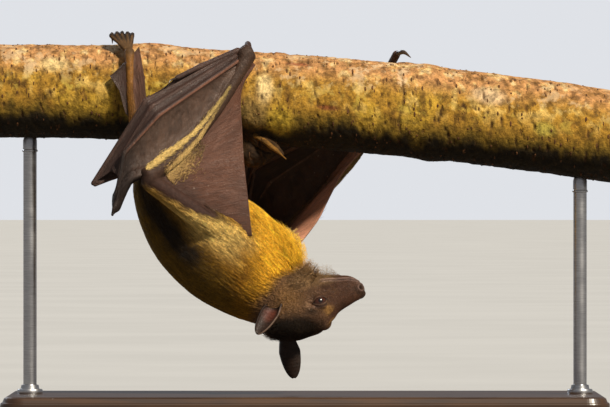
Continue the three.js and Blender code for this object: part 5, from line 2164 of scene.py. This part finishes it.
@dataclass
class Branch:
    """The cut length of branch: bark with its scars, cracks and lichen, its sawn ends and its stub."""

    half: float = 200.0
    rows: int = 510
    sides: int = 180
    pits: int = 620
    stub: tuple[Triple, ...] = ((-36, -8, 172), (-24, -13, 163), (-14, -15, 156))
    splinter: tuple[Triple, ...] = ((-30, -16, 167), (-20.5, -18.5, 160.6), (-11.5, -18, 153))
    burl: tuple[Triple, ...] = ((-39, -3, 166), (-31, -5, 158), (-24, -5, 159))
    swellings: tuple[tuple[float, float, float], ...] = ((-93, 20, 2.0), (74, 9, 1.4))
    radius = 28.8

    @staticmethod
    def height(x: Array | float) -> Array | float:
        """Height of the branch's middle at x."""
        return 187.4 - 0.0735 * x - 0.000215 * x * x

    def bark(self) -> Shape:
        """The bark with its relief and its colours."""
        x = np.linspace(-self.half + 1.6, self.half - 1.6, self.rows)
        turn = turns(self.sides)
        grid_x, grid_turn = np.meshgrid(x, turn, indexing="ij")
        swell = sum(size * np.exp(-(((grid_x - at) / reach) ** 2)) for at, reach, size in self.swellings)
        radius = self.radius - 0.9
        aside, above = np.cos(grid_turn), np.sin(grid_turn)
        ideal = np.stack([grid_x, aside * radius, above * radius], axis=-1).reshape(-1, 3)
        rough = 0.6 * layered(ideal, 14, 4, 60)
        rough = rough + 0.35 * layered(ideal * np.array([1.0, 0.5, 0.5]), 3.0, 3, 64)
        rough -= 0.5 * ramp(layered(ideal * np.array([1.0, 0.45, 0.45]), 2.6, 2, 68), 0.3, 0.62)
        features, tint, lichen, crust = self.features(ideal)
        pit = self.pitted(ideal)
        tint, lichen = blend(tint, (0.05, 0.02, 0.006), pit * 0.9), lichen * (1 - pit)
        reach = radius + np.minimum(rough + features - 0.75 * pit, 3.4).reshape(grid_x.shape)
        loops = np.stack([grid_x, aside * reach, self.height(grid_x) + above * (reach + swell)], axis=-1)
        ends = [np.array([sign * (self.half - 1.6), 0.0, self.height(sign * self.half)]) for sign in (-1, 1)]
        shape = loft(loops, *ends)
        stub, stub_tint = self.broken_stub()
        values = {"tint": tint, "lichen": lichen, "crust": crust}
        shape.values = {key: np.concatenate([row[:1], row, row[-1:]]) for key, row in values.items()}
        stub.values = {
            "tint": stub_tint,
            "lichen": np.zeros(len(stub.points)),
            "crust": plain(len(stub.points), (0.3, 0.2, 0.08)),
        }
        return Shape.joined([shape, stub])

    def pitted(self, ideal: Array) -> Array:
        """1 in the small upright pits strewn over the bark, larger and sparser towards +X.

        Args:
            ideal: places on the plain branch.

        Returns:
            From 0 on the bark to 1 in a pit.
        """
        random = np.random.default_rng(17)
        x = random.uniform(-self.half, self.half, self.pits)
        turn = random.uniform(0, 2 * np.pi, self.pits)
        grow = np.interp(x, (-200, 60, 120), (1.0, 1.0, 1.5))
        keep = random.random(self.pits) < np.interp(x, (40, 110), (1.0, 0.5))
        wide, high = random.uniform(0.4, 0.75, self.pits) * grow, random.uniform(0.9, 2.4, self.pits) * grow
        around = np.arctan2(ideal[:, 2], ideal[:, 1]) % (2 * np.pi)
        order = np.argsort(ideal[:, 0], kind="stable")
        sorted_x = ideal[order, 0]
        result = np.zeros(len(ideal))
        for index in np.nonzero(keep)[0]:
            low, top = np.searchsorted(sorted_x, (x[index] - 4, x[index] + 4))
            rows = order[low:top]
            arc = (around[rows] - turn[index] + np.pi) % (2 * np.pi) - np.pi
            away = np.hypot((ideal[rows, 0] - x[index]) / wide[index], arc * self.radius / high[index])
            result[rows] = np.maximum(result[rows], np.exp(-(away**4)))
        return result

    def features(self, ideal: Array) -> tuple[Array, Array, Array, Array]:
        """Relief and colour of the bark's marks at places on the plain branch.

        Args:
            ideal: places on the plain branch.

        Returns:
            Relief in mm, tint, share of lichen and the lichen's colour.
        """
        x, y, z = ideal.T
        sky = z / self.radius
        patchy = layered(ideal, 26, 3, 71)
        streak = layered(ideal * np.array([1.0, 0.3, 0.3]), 5, 3, 75)
        fleck = layered(ideal * np.array([1.0, 0.7, 0.7]), 4.5, 4, 78)
        tint = painted(
            plain(len(x), (0.34, 0.18, 0.022)),
            # Lighter towards the top, with pale flecks there: partly paler bark, partly painted light.
            ((0.46, 0.23, 0.085), ramp(sky + 0.25 * patchy, 0.25, 0.75)),
            ((0.46, 0.28, 0.03), ramp(patchy, 0.0, 0.4) * ramp(sky, 0.7, 0.1) * 0.8),
            ((0.62, 0.42, 0.12), ramp(fleck, 0.12, 0.42) * ramp(sky + 0.2 * patchy, -0.3, 0.3) * 0.75),
            ((0.70, 0.50, 0.28), ramp(fleck, 0.22, 0.5) * ramp(sky, 0.35, 0.75) * 0.7),
            ((0.16, 0.075, 0.014), ramp(fleck, -0.14, -0.44) * 0.65),
            # Painted shade: darker towards the underside, then near black at the bottom.
            ((0.15, 0.095, 0.012), ramp(sky + 0.2 * patchy + 0.2 * streak, -0.12, -0.48) * 0.9),
            ((0.016, 0.010, 0.003), ramp(sky + 0.16 * patchy + 0.2 * streak, -0.38, -0.66)),
        )
        crust = blend(plain(len(x), (0.72, 0.52, 0.3)), (0.60, 0.43, 0.07), ramp(sky, 0.55, 0.1))
        lichen = ramp(sky + 0.2 * patchy, -0.35, 0.2) * (0.45 + 0.4 * ramp(patchy, -0.2, 0.4))
        relief = np.zeros(len(x))
        crack = hump(x - 57.5 - 1.5 * np.sin(z / 6), 0.9) * ramp(-y, 8, 16) * ramp(z, -16, -6)
        relief -= 0.9 * crack
        tint = blend(tint, (0.06, 0.03, 0.012), crack * 0.8)
        for place_x, place_turn, long, high, lift, colour in (
            (-72.6, 82, 5.0, 2.2, -0.5, (0.26, 0.09, 0.035)),
            (-91, 88, 8.0, 3.0, 0.6, (0.36, 0.15, 0.05)),
            (-16, 86, 5.0, 2.5, 0.9, (0.30, 0.12, 0.04)),
            (-4, 52, 8.0, 1.8, -0.4, (0.25, 0.075, 0.03)),
            (14, -6, 7.0, 1.6, -0.5, (0.20, 0.055, 0.02)),
            (143, -4, 6.5, 4.5, 0.3, (0.50, 0.40, 0.07)),
            (-31, -19, 10.0, 10.5, 2.6, (0.24, 0.15, 0.045)),
            (-24, 14, 5.0, 9.0, 0.6, (0.74, 0.55, 0.26)),
            (-15, -28, 8.0, 10.5, 1.0, (0.46, 0.30, 0.03)),
            # Painted shadow: a near-black patch beside the stub under the branch's front.
            (-30, -52, 13.0, 6.0, -1.0, (0.02, 0.012, 0.005)),
            (-150, 35, 9.0, 5.0, 0.3, (0.68, 0.50, 0.22)),
            (110, 30, 10.0, 6.0, 0.3, (0.66, 0.46, 0.26)),
            (60, 96, 6.0, 3.0, 1.1, (0.22, 0.13, 0.07)),
        ):
            angle = math.radians(place_turn)
            centre = np.array([-math.cos(angle), math.sin(angle)]) * (self.radius - 0.9)
            away = np.hypot((x - place_x) / long, np.hypot(y - centre[0], z - centre[1]) / high)
            spot = np.exp(-(away**4))
            relief += lift * spot
            tint = blend(tint, colour, spot * 0.85)
            lichen = lichen * (1 - 0.8 * spot)
        return relief, tint, np.clip(lichen, 0, 1), crust

    def broken_stub(self) -> tuple[Shape, Array]:
        """The burl under the branch and the splintered stub of a twig beside it: the burl and stub are
        painted near black as painted shade, and the splinter tan, partly bare wood and partly painted light.
        """
        parts = [
            tube(np.array(self.burl, float), [11.2, 10.2, 6.2], 48, 40),
            tube(np.array(self.stub, float), [8.0, 5.0, 1.5], 44, 60),
            tube(np.array(self.splinter, float), [1.7, 1.45, 0.3], 20, 50),
        ]
        shape = Shape.joined(parts)
        normals = shape.normals()
        thin = np.arange(len(normals)) >= len(parts[0].points) + len(parts[1].points)
        axis = unit(np.array(self.stub[2], float) - np.array(self.stub[0], float))
        away = shape.points - np.array(self.stub[0], float)
        lengthwise = np.outer(away @ axis, axis)
        splinter = noise(away - 0.85 * lengthwise, 1.3, 80)
        lumps = layered(away - 0.5 * lengthwise, 4.5, 3, 82)
        lift = (1.1 * lumps + 0.7 * splinter) * np.where(thin, 0.55, 1)
        shape.points = shape.points + normals * lift[:, None]
        # Painted light on the splinter and painted shade on the burl and stub.
        lit = np.where(thin, 0.75 + 0.25 * ramp(lumps, -0.4, 0.4), 0.16 * ramp(lumps, -0.3, 0.5))
        tint = blend(plain(len(lit), (0.030, 0.015, 0.006)), (0.17, 0.08, 0.014), lit)
        return shape, tint * (0.8 + 0.4 * ramp(splinter, -0.6, 0.6))[:, None]

    def sawn_end(self, sign: int) -> Shape:
        """One sawn end: a slightly domed disc a little wider than the bark's edge is deep."""
        x_out = sign * self.half
        middle = np.array([x_out, 0.0, self.height(x_out)])
        turn = turns(96)
        circle = np.stack([np.zeros(96), np.cos(turn), np.sin(turn)], axis=-1)
        loops = []
        for inset, radius in ((2.4, 26.6), (0.5, 26.8), (0.15, 26.3), (0.1, 18.0), (0.1, 9.0)):
            ring = middle + circle * radius - np.array([sign * inset, 0, 0])
            loops.append(ring + circle * (0.25 * noise(circle * 30, 6, 90 + sign))[:, None])
        inward = np.array([sign, 0, 0])
        return loft(np.array(loops), middle - inward * 3.0, middle - inward * 0.1)

    def build(self) -> None:
        """Makes the bark, its raised pores and its sawn ends."""
        finish = BarkFinish("bark_crust").material()
        bark = add_piece("branch_bark", self.bark(), finish, ("perch_branch",))
        for sign, word in ((-1, "left"), (1, "right")):
            middle = (sign * self.half, 0.0, float(self.height(sign * self.half)))
            cut = CutWoodFinish(f"cut_wood_{word}", middle).material()
            add_piece(f"branch_cut_{word}", self.sawn_end(sign), cut)
        Pores(bark).build()


@dataclass
class Pores:
    """Raised corky pores strewn over the bark by a geometry tree, each longer round the branch."""

    bark: Piece
    dense: float = 9000.0
    size: float = 0.0011
    seed: int = 4

    def tree(self, finish: Material) -> bpy.types.GeometryNodeTree:
        """The geometry tree: points on the bark, one small oval on each, joined and coloured.

        Args:
            finish: the pores' material.

        Returns:
            The tree, with its inputs named.
        """
        tree = bpy.data.node_groups.new("bark_pores", "GeometryNodeTree")
        face = tree.interface
        face.new_socket("Bark", in_out="INPUT", socket_type="NodeSocketGeometry")
        for name, default in (("Pores per square metre", self.dense), ("Pore size", self.size)):
            face.new_socket(name, in_out="INPUT", socket_type="NodeSocketFloat").default_value = default
        face.new_socket("Pores", in_out="OUTPUT", socket_type="NodeSocketGeometry")
        make, link = tree.nodes.new, tree.links.new
        start, end = make("NodeGroupInput"), make("NodeGroupOutput")
        points = make("GeometryNodeDistributePointsOnFaces")
        points.inputs["Seed"].default_value = self.seed
        link(start.outputs["Bark"], points.inputs["Mesh"])
        link(start.outputs["Pores per square metre"], points.inputs["Density"])
        seed_shape = make("GeometryNodeMeshUVSphere")
        seed_shape.inputs["Segments"].default_value = 8
        seed_shape.inputs["Rings"].default_value = 5
        link(start.outputs["Pore size"], seed_shape.inputs["Radius"])
        lift = make("FunctionNodeAlignRotationToVector")
        lift.axis = "Z"
        link(points.outputs["Normal"], lift.inputs["Vector"])
        turn = make("FunctionNodeAlignRotationToVector")
        turn.axis, turn.pivot_axis = "X", "Z"
        turn.inputs["Vector"].default_value = (1.0, 0.0, 0.0)
        link(lift.outputs[0], turn.inputs["Rotation"])
        size = make("FunctionNodeRandomValue")
        size.data_type = "FLOAT_VECTOR"
        size.inputs["Min"].default_value = (0.3, 0.6, 0.22)
        size.inputs["Max"].default_value = (0.62, 1.7, 0.42)
        size.inputs["Seed"].default_value = self.seed + 1
        place = make("GeometryNodeInstanceOnPoints")
        link(points.outputs["Points"], place.inputs["Points"])
        link(seed_shape.outputs["Mesh"], place.inputs["Instance"])
        link(turn.outputs[0], place.inputs["Rotation"])
        link(size.outputs["Value"], place.inputs["Scale"])
        real, paint = make("GeometryNodeRealizeInstances"), make("GeometryNodeSetMaterial")
        paint.inputs["Material"].default_value = finish
        link(place.outputs[0], real.inputs[0])
        link(real.outputs[0], paint.inputs[0])
        link(paint.outputs[0], end.inputs[0])
        return tree

    def build(self) -> None:
        """Strews the pores and makes them a plain mesh."""
        nodes = Nodes("bark_pore")
        grit = nodes.grain(nodes.place(), 1200.0, 3.0)
        colour = nodes.mixed(nodes.swing(grit), (0.05, 0.022, 0.009), (0.17, 0.07, 0.025))
        finish = nodes.finish(colour, 0.85, nodes.lifted(grit, 0.2), Specular_IOR_Level=0.25)
        tree = self.tree(finish)
        holder = bpy.data.objects.new("pore_holder", self.bark.data.copy())
        show(holder)
        modifier = holder.modifiers.new("pores", "NODES")
        modifier.node_group = tree
        for item in tree.interface.items_tree:
            wanted = item.item_type == "SOCKET" and item.in_out == "INPUT"
            if wanted and item.socket_type == "NodeSocketFloat":
                modifier[item.identifier] = self.dense if "square" in item.name else self.size
        mesh = evaluated(holder)
        bpy.data.objects.remove(holder)
        piece = bpy.data.objects.new("branch_pores", mesh)
        show(piece)
        mesh.polygons.foreach_set("use_smooth", np.ones(len(mesh.polygons), bool))
        adopt(piece, finish)


@dataclass
class Stand:
    """The display stand: a lacquered base with a chamfered edge and two steel rods in turned collars."""

    length: float = 360.0
    width: float = 190.0
    height: float = 12.0
    corner: float = 14.0
    rod: float = 4.0
    reach: float = 165.0

    def base(self) -> Shape:
        """The base, with a small chamfer below and a moulded edge above."""
        steps = (
            (0.0, 0.8), (0.8, 0.0), (7.6, 0.0), (8.4, 0.3), (8.7, 1.2), (9.4, 1.5), (11.2, 2.2), (12.0, 3.6),
        )
        loops = np.array([self.outline(level, inset) for level, inset in steps])
        return loft(loops, np.array([0, 0, 0.0]), np.array([0, 0, self.height]))

    def outline(self, level: float, inset: float) -> Array:
        """A rectangle with round corners at one level."""
        points = []
        for quarter, (sign_x, sign_y) in enumerate(((1, 1), (-1, 1), (-1, -1), (1, -1))):
            for step in range(14):
                turn = math.pi / 2 * (quarter + step / 13)
                radius = self.corner - inset
                points.append((
                    sign_x * (self.length / 2 - self.corner) + math.cos(turn) * radius,
                    sign_y * (self.width / 2 - self.corner) + math.sin(turn) * radius,
                    level,
                ))
        return np.array(points)

    def turned_rod(self, x: float) -> Shape:
        """One rod with a collar on the base and a cone under the branch."""
        top = float(Branch.height(x)) - math.sqrt(Branch.radius**2 - 4) + 1.2
        profile = (
            (12.0, 7.2), (12.6, 7.6), (14.4, 7.6), (15.0, 7.2), (15.2, 5.6), (17.4, 5.2), (17.8, 4.0),
            (top - 9, 4.0), (top - 8.6, 4.7), (top - 7.8, 4.7), (top - 7.4, 4.2), (top - 2, 4.2), (top, 3.6),
        )
        turn = turns(48)
        circle = np.stack([np.cos(turn), np.sin(turn), np.zeros(48)], axis=-1)
        loops = [np.array([x, 0, level]) + circle * radius for level, radius in profile]
        return loft(np.array(loops), np.array([x, 0, 12.0]), np.array([x, 0, top]))

    def build(self) -> None:
        """Makes the base and both rods."""
        wood = WoodFinish("stained_wood").material()
        base = add_piece("stand_plinth", self.base(), wood, ("stand_base",))
        base.data.shade_flat()
        steel = SteelFinish("rod_steel").material()
        for x, word in ((-self.reach, "left"), (self.reach, "right")):
            node, shape = (f"stand_rod_{word}",), self.turned_rod(x)
            rod = add_piece(f"stand_post_{word}", shape, steel, node)
            rod.data.set_sharp_from_angle(angle=math.radians(35))


# ---------------------------------------------------------------- room


@dataclass
class Studio:
    """Floor, lights and camera."""

    lens: float = 500.0
    frame_width: float = 0.366
    centre: Triple = (0.0, 0.0, 0.1263)
    sun: Triple = (0.50, -0.64, 0.70)
    behind: Triple = (-0.45, 0.78, 0.42)
    floor_half: float = 60.0
    room_light: float = 0.21

    def build(self) -> None:
        """Sets up the room."""
        scene = bpy.context.scene
        scene.view_settings.view_transform = "Standard"
        self.floor()
        self.lights()
        camera_data = bpy.data.cameras.new("view")
        camera_data.lens = self.lens
        camera_data.clip_end = 500
        camera = bpy.data.objects.new("view", camera_data)
        distance = self.frame_width * self.lens / camera_data.sensor_width
        camera.location = (self.centre[0], -distance, self.centre[2])
        camera.rotation_euler = (math.pi / 2, 0, 0)
        show(camera)
        scene.camera = camera

    def floor(self) -> None:
        """A wide pale floor."""
        nodes = Nodes("pale_floor")
        cloud = nodes.grain(nodes.place(), 3.0, 3.0)
        colour = nodes.mixed(nodes.swing(cloud), (0.50, 0.50, 0.49), (0.54, 0.54, 0.53))
        path = nodes.tree.nodes.new("ShaderNodeLightPath")
        seen = nodes.mixed(path.outputs["Is Camera Ray"], (0.22, 0.21, 0.2), colour)
        finish = nodes.finish(seen, 0.9)
        mesh = bpy.data.meshes.new("floor")
        size = self.floor_half
        corners = [(-size, -size, 0), (size, -size, 0), (size, size, 0), (-size, size, 0)]
        mesh.from_pydata(corners, [], [(0, 1, 2, 3)])
        floor = bpy.data.objects.new("floor", mesh)
        floor.data.materials.append(finish)
        show(floor)

    def lights(self) -> None:
        """A warm sun from the right front above, a weak cool one behind, and a pale even room."""
        for name, energy, spread, colour, towards in (
            ("key", 4.7, 8, (1.0, 0.91, 0.76), self.sun),
            ("back", 0.9, 20, (0.84, 0.91, 1.0), self.behind),
        ):
            lamp = bpy.data.lights.new(name, "SUN")
            lamp.energy, lamp.angle, lamp.color = energy, math.radians(spread), colour
            light = bpy.data.objects.new(name, lamp)
            light.rotation_mode = "QUATERNION"
            light.rotation_quaternion = Vector(towards).to_track_quat("Z", "Y")
            show(light)
        world = bpy.data.worlds.new("room")
        world.use_nodes = True
        tree = world.node_tree
        shade = tree.nodes["Background"]
        shade.inputs["Color"].default_value = (0.90, 0.92, 1.0, 1.0)
        shade.inputs["Strength"].default_value = self.room_light
        seen = tree.nodes.new("ShaderNodeBackground")
        seen.inputs["Color"].default_value = (0.74, 0.76, 0.80, 1.0)
        seen.inputs["Strength"].default_value = 1.0
        mix, path = tree.nodes.new("ShaderNodeMixShader"), tree.nodes.new("ShaderNodeLightPath")
        tree.links.new(path.outputs["Is Camera Ray"], mix.inputs[0])
        tree.links.new(shade.outputs[0], mix.inputs[1])
        tree.links.new(seen.outputs[0], mix.inputs[2])
        tree.links.new(mix.outputs[0], tree.nodes["World Output"].inputs["Surface"])
        bpy.context.scene.world = world


def flesh_nodes() -> list[str]:
    """Nodes that the one skin stands for."""
    names = ["trunk", "neck", "head", "tail"]
    for side in Side:
        names += [f"{part}_{side.word}" for part in ("thigh", "shank", "upper_arm", "forearm")]
    return names


@dataclass(frozen=True)
class HairLine:
    """A line of pale hair on the near forearm: X and Z of its middle, half widths, tufts and colour."""

    middle: tuple[tuple[float, float], ...]
    half: tuple[float, ...]
    count: int
    length: tuple[float, float]
    tint: Triple
    spread: float = 0.5


HAIR_LINES = (
    HairLine(
        (
            (-95, 146.2), (-87, 152.6), (-81, 156.8), (-75, 161.2), (-69, 166), (-63, 172), (-55.8, 181),
            (-50, 188.4), (-46, 194)
        ),
        (1.2, 1.6, 1.5, 1.25, 1.0, 0.8, 0.6, 0.4, 0.25), 4600, (3.0, 5.5), (0.60, 0.42, 0.145), 0.45,
    ),
    HairLine(
        (
            (-81, 143), (-76.5, 148.6), (-72, 153.8), (-67.2, 159.4), (-63, 164.6), (-59.4, 169.8),
            (-55.2, 176.4), (-51, 183.6), (-46.8, 190.4)
        ),
        (2.0, 1.8, 1.4, 1.0, 0.8, 0.6, 0.5, 0.4, 0.3), 2300, (2.2, 4.0), (0.42, 0.28, 0.10), 0.55,
    ),
    HairLine(
        ((-82, 141), (-76, 145.5), (-71, 149.5), (-65.5, 155.5), (-61, 161.5)),
        (3.5, 5.0, 5.5, 4.5, 2.5), 1500, (1.6, 3.2), (0.36, 0.225, 0.08), 0.6,
    ),
)


NEAR_Y = -150.0
CAST = 140.0


def forearm_hair(under: Sequence[Shape]) -> Shape:
    """Lines of pale hair on the near forearm and the membrane beside it.

    Args:
        under: the skin and membranes that they grow on.

    Returns:
        The tufts.
    """
    ground = Shape.joined([Shape(shape.points, shape.faces) for shape in under])
    tree = BVHTree.FromPolygons(ground.points.tolist(), ground.faces.tolist())
    random = np.random.default_rng(31)
    grown = []
    for number, line in enumerate(HAIR_LINES):
        where = random.beta(0.9, 1.35, line.count) if number == 0 else random.beta(0.9, 1.6, line.count)
        middle = through(np.array(line.middle), where)
        course = np.array(line.middle)
        ahead = through(course, np.minimum(where + 0.02, 1))
        behind = through(course, np.maximum(where - 0.02, 0))
        heading = unit(ahead - behind)
        aside = np.stack([-heading[:, 1], heading[:, 0]], axis=1)
        half = np.interp(where, np.linspace(0, 1, len(line.half)), line.half)
        offset = random.normal(0, line.spread, line.count) * half
        flat = middle + aside * offset[:, None]
        roots, normals, keep = [], [], []
        for index, (x, z) in enumerate(flat):
            place, normal, _, _ = tree.ray_cast(Vector((x, NEAR_Y, z)), Vector((0.0, 1.0, 0.0)), CAST)
            if place is not None:
                roots.append(place[:])
                normals.append(normal[:] if normal[1] < 0 else (-normal)[:])
                keep.append(index)
        roots, normals, keep = np.array(roots), np.array(normals), np.array(keep)
        lies = np.stack([heading[keep, 0], -0.05 + np.zeros(len(keep)), heading[keep, 1]], axis=1)
        lies = unit(lies + random.normal(0, 0.13, (len(keep), 3)))
        lies = flattened(lies, normals)
        lengths = random.uniform(*line.length, len(keep))
        tips = roots + lies * lengths[:, None]
        for index, tip in enumerate(tips):
            place, normal, _, _ = tree.find_nearest(tip)
            lift = Vector(normal) if normal[1] < 0 else -Vector(normal)
            tips[index] = np.array(place + lift * 0.45)
        stands = random.uniform(0.25, 0.7, len(keep))
        fade = ramp(where[keep], 0.92, 0.5)[:, None]
        tints = np.array(line.tint) * (0.45 + 0.55 * fade)
        chart = np.stack([0.45 + where[keep] * 0.5, 0.86 + 0.03 * number + offset[keep] / 400], axis=1)
        widths = np.full(len(keep), 0.3)
        grown.append(tuft_mesh(roots, normals, lies, tips, widths, stands, tints, chart, 90 + number))
    return Shape.joined(grown)


def main() -> None:
    """Builds the stage, the stand and branch, and the bat."""
    Studio().build()
    Stand().build()
    Branch().build()
    hide = HideFinish("bare_hide").material()
    skin_finish = HideFinish("body_hide", 700.0, 420.0, 0.2, 0.62).material()
    hair = HairFinish("hair").material()
    face_hair = HairFinish("face_hair", 0.66, 0.08).material()
    horn = HornFinish("claw_horn").material()
    eye_finish = EyeFinish("wet_eye").material()
    membrane = WingFinish("membrane").material()
    body = Body()
    skin = body.skin()
    # The skin under the coat is painted at 0.8 of the coat's colour as painted shade between the tufts.
    skin.values["tint"] = body.colours(skin.points) * 0.8
    add_piece("bat_skin", skin, skin_finish, flesh_nodes())
    for name, shape in Fur(body, skin).grow():
        head = name in ("coat_face", "coat_crown")
        finish, slot = (face_hair, Slot.FACE_COAT) if head else (hair, Slot.COAT)
        add_piece(name, shape, finish)
    for side in Side:
        add_piece(f"eyeball_{side.word}", eyeball(side), eye_finish, (f"eye_{side.word}",))
    ear_finish = HideFinish("ear_hide", 1100.0, 500.0, 0.15, 0.5).material()
    for ear in EARS:
        word = ear.side.word
        add_piece(f"ear_leaf_{word}", ear.shape(), ear_finish, (f"ear_{word}",))
    Extremities().build(hide, horn)
    for wing, leg in zip(WINGS, LEGS):
        sheets = WingSkin(wing, leg).build(membrane)
        if wing.side is Side.LEFT:
            add_piece("coat_forearm_line", forearm_hair([skin, *sheets]), hair)


if __name__ == "__main__":
    logging.basicConfig(level=logging.INFO, format="%(message)s")
    main()
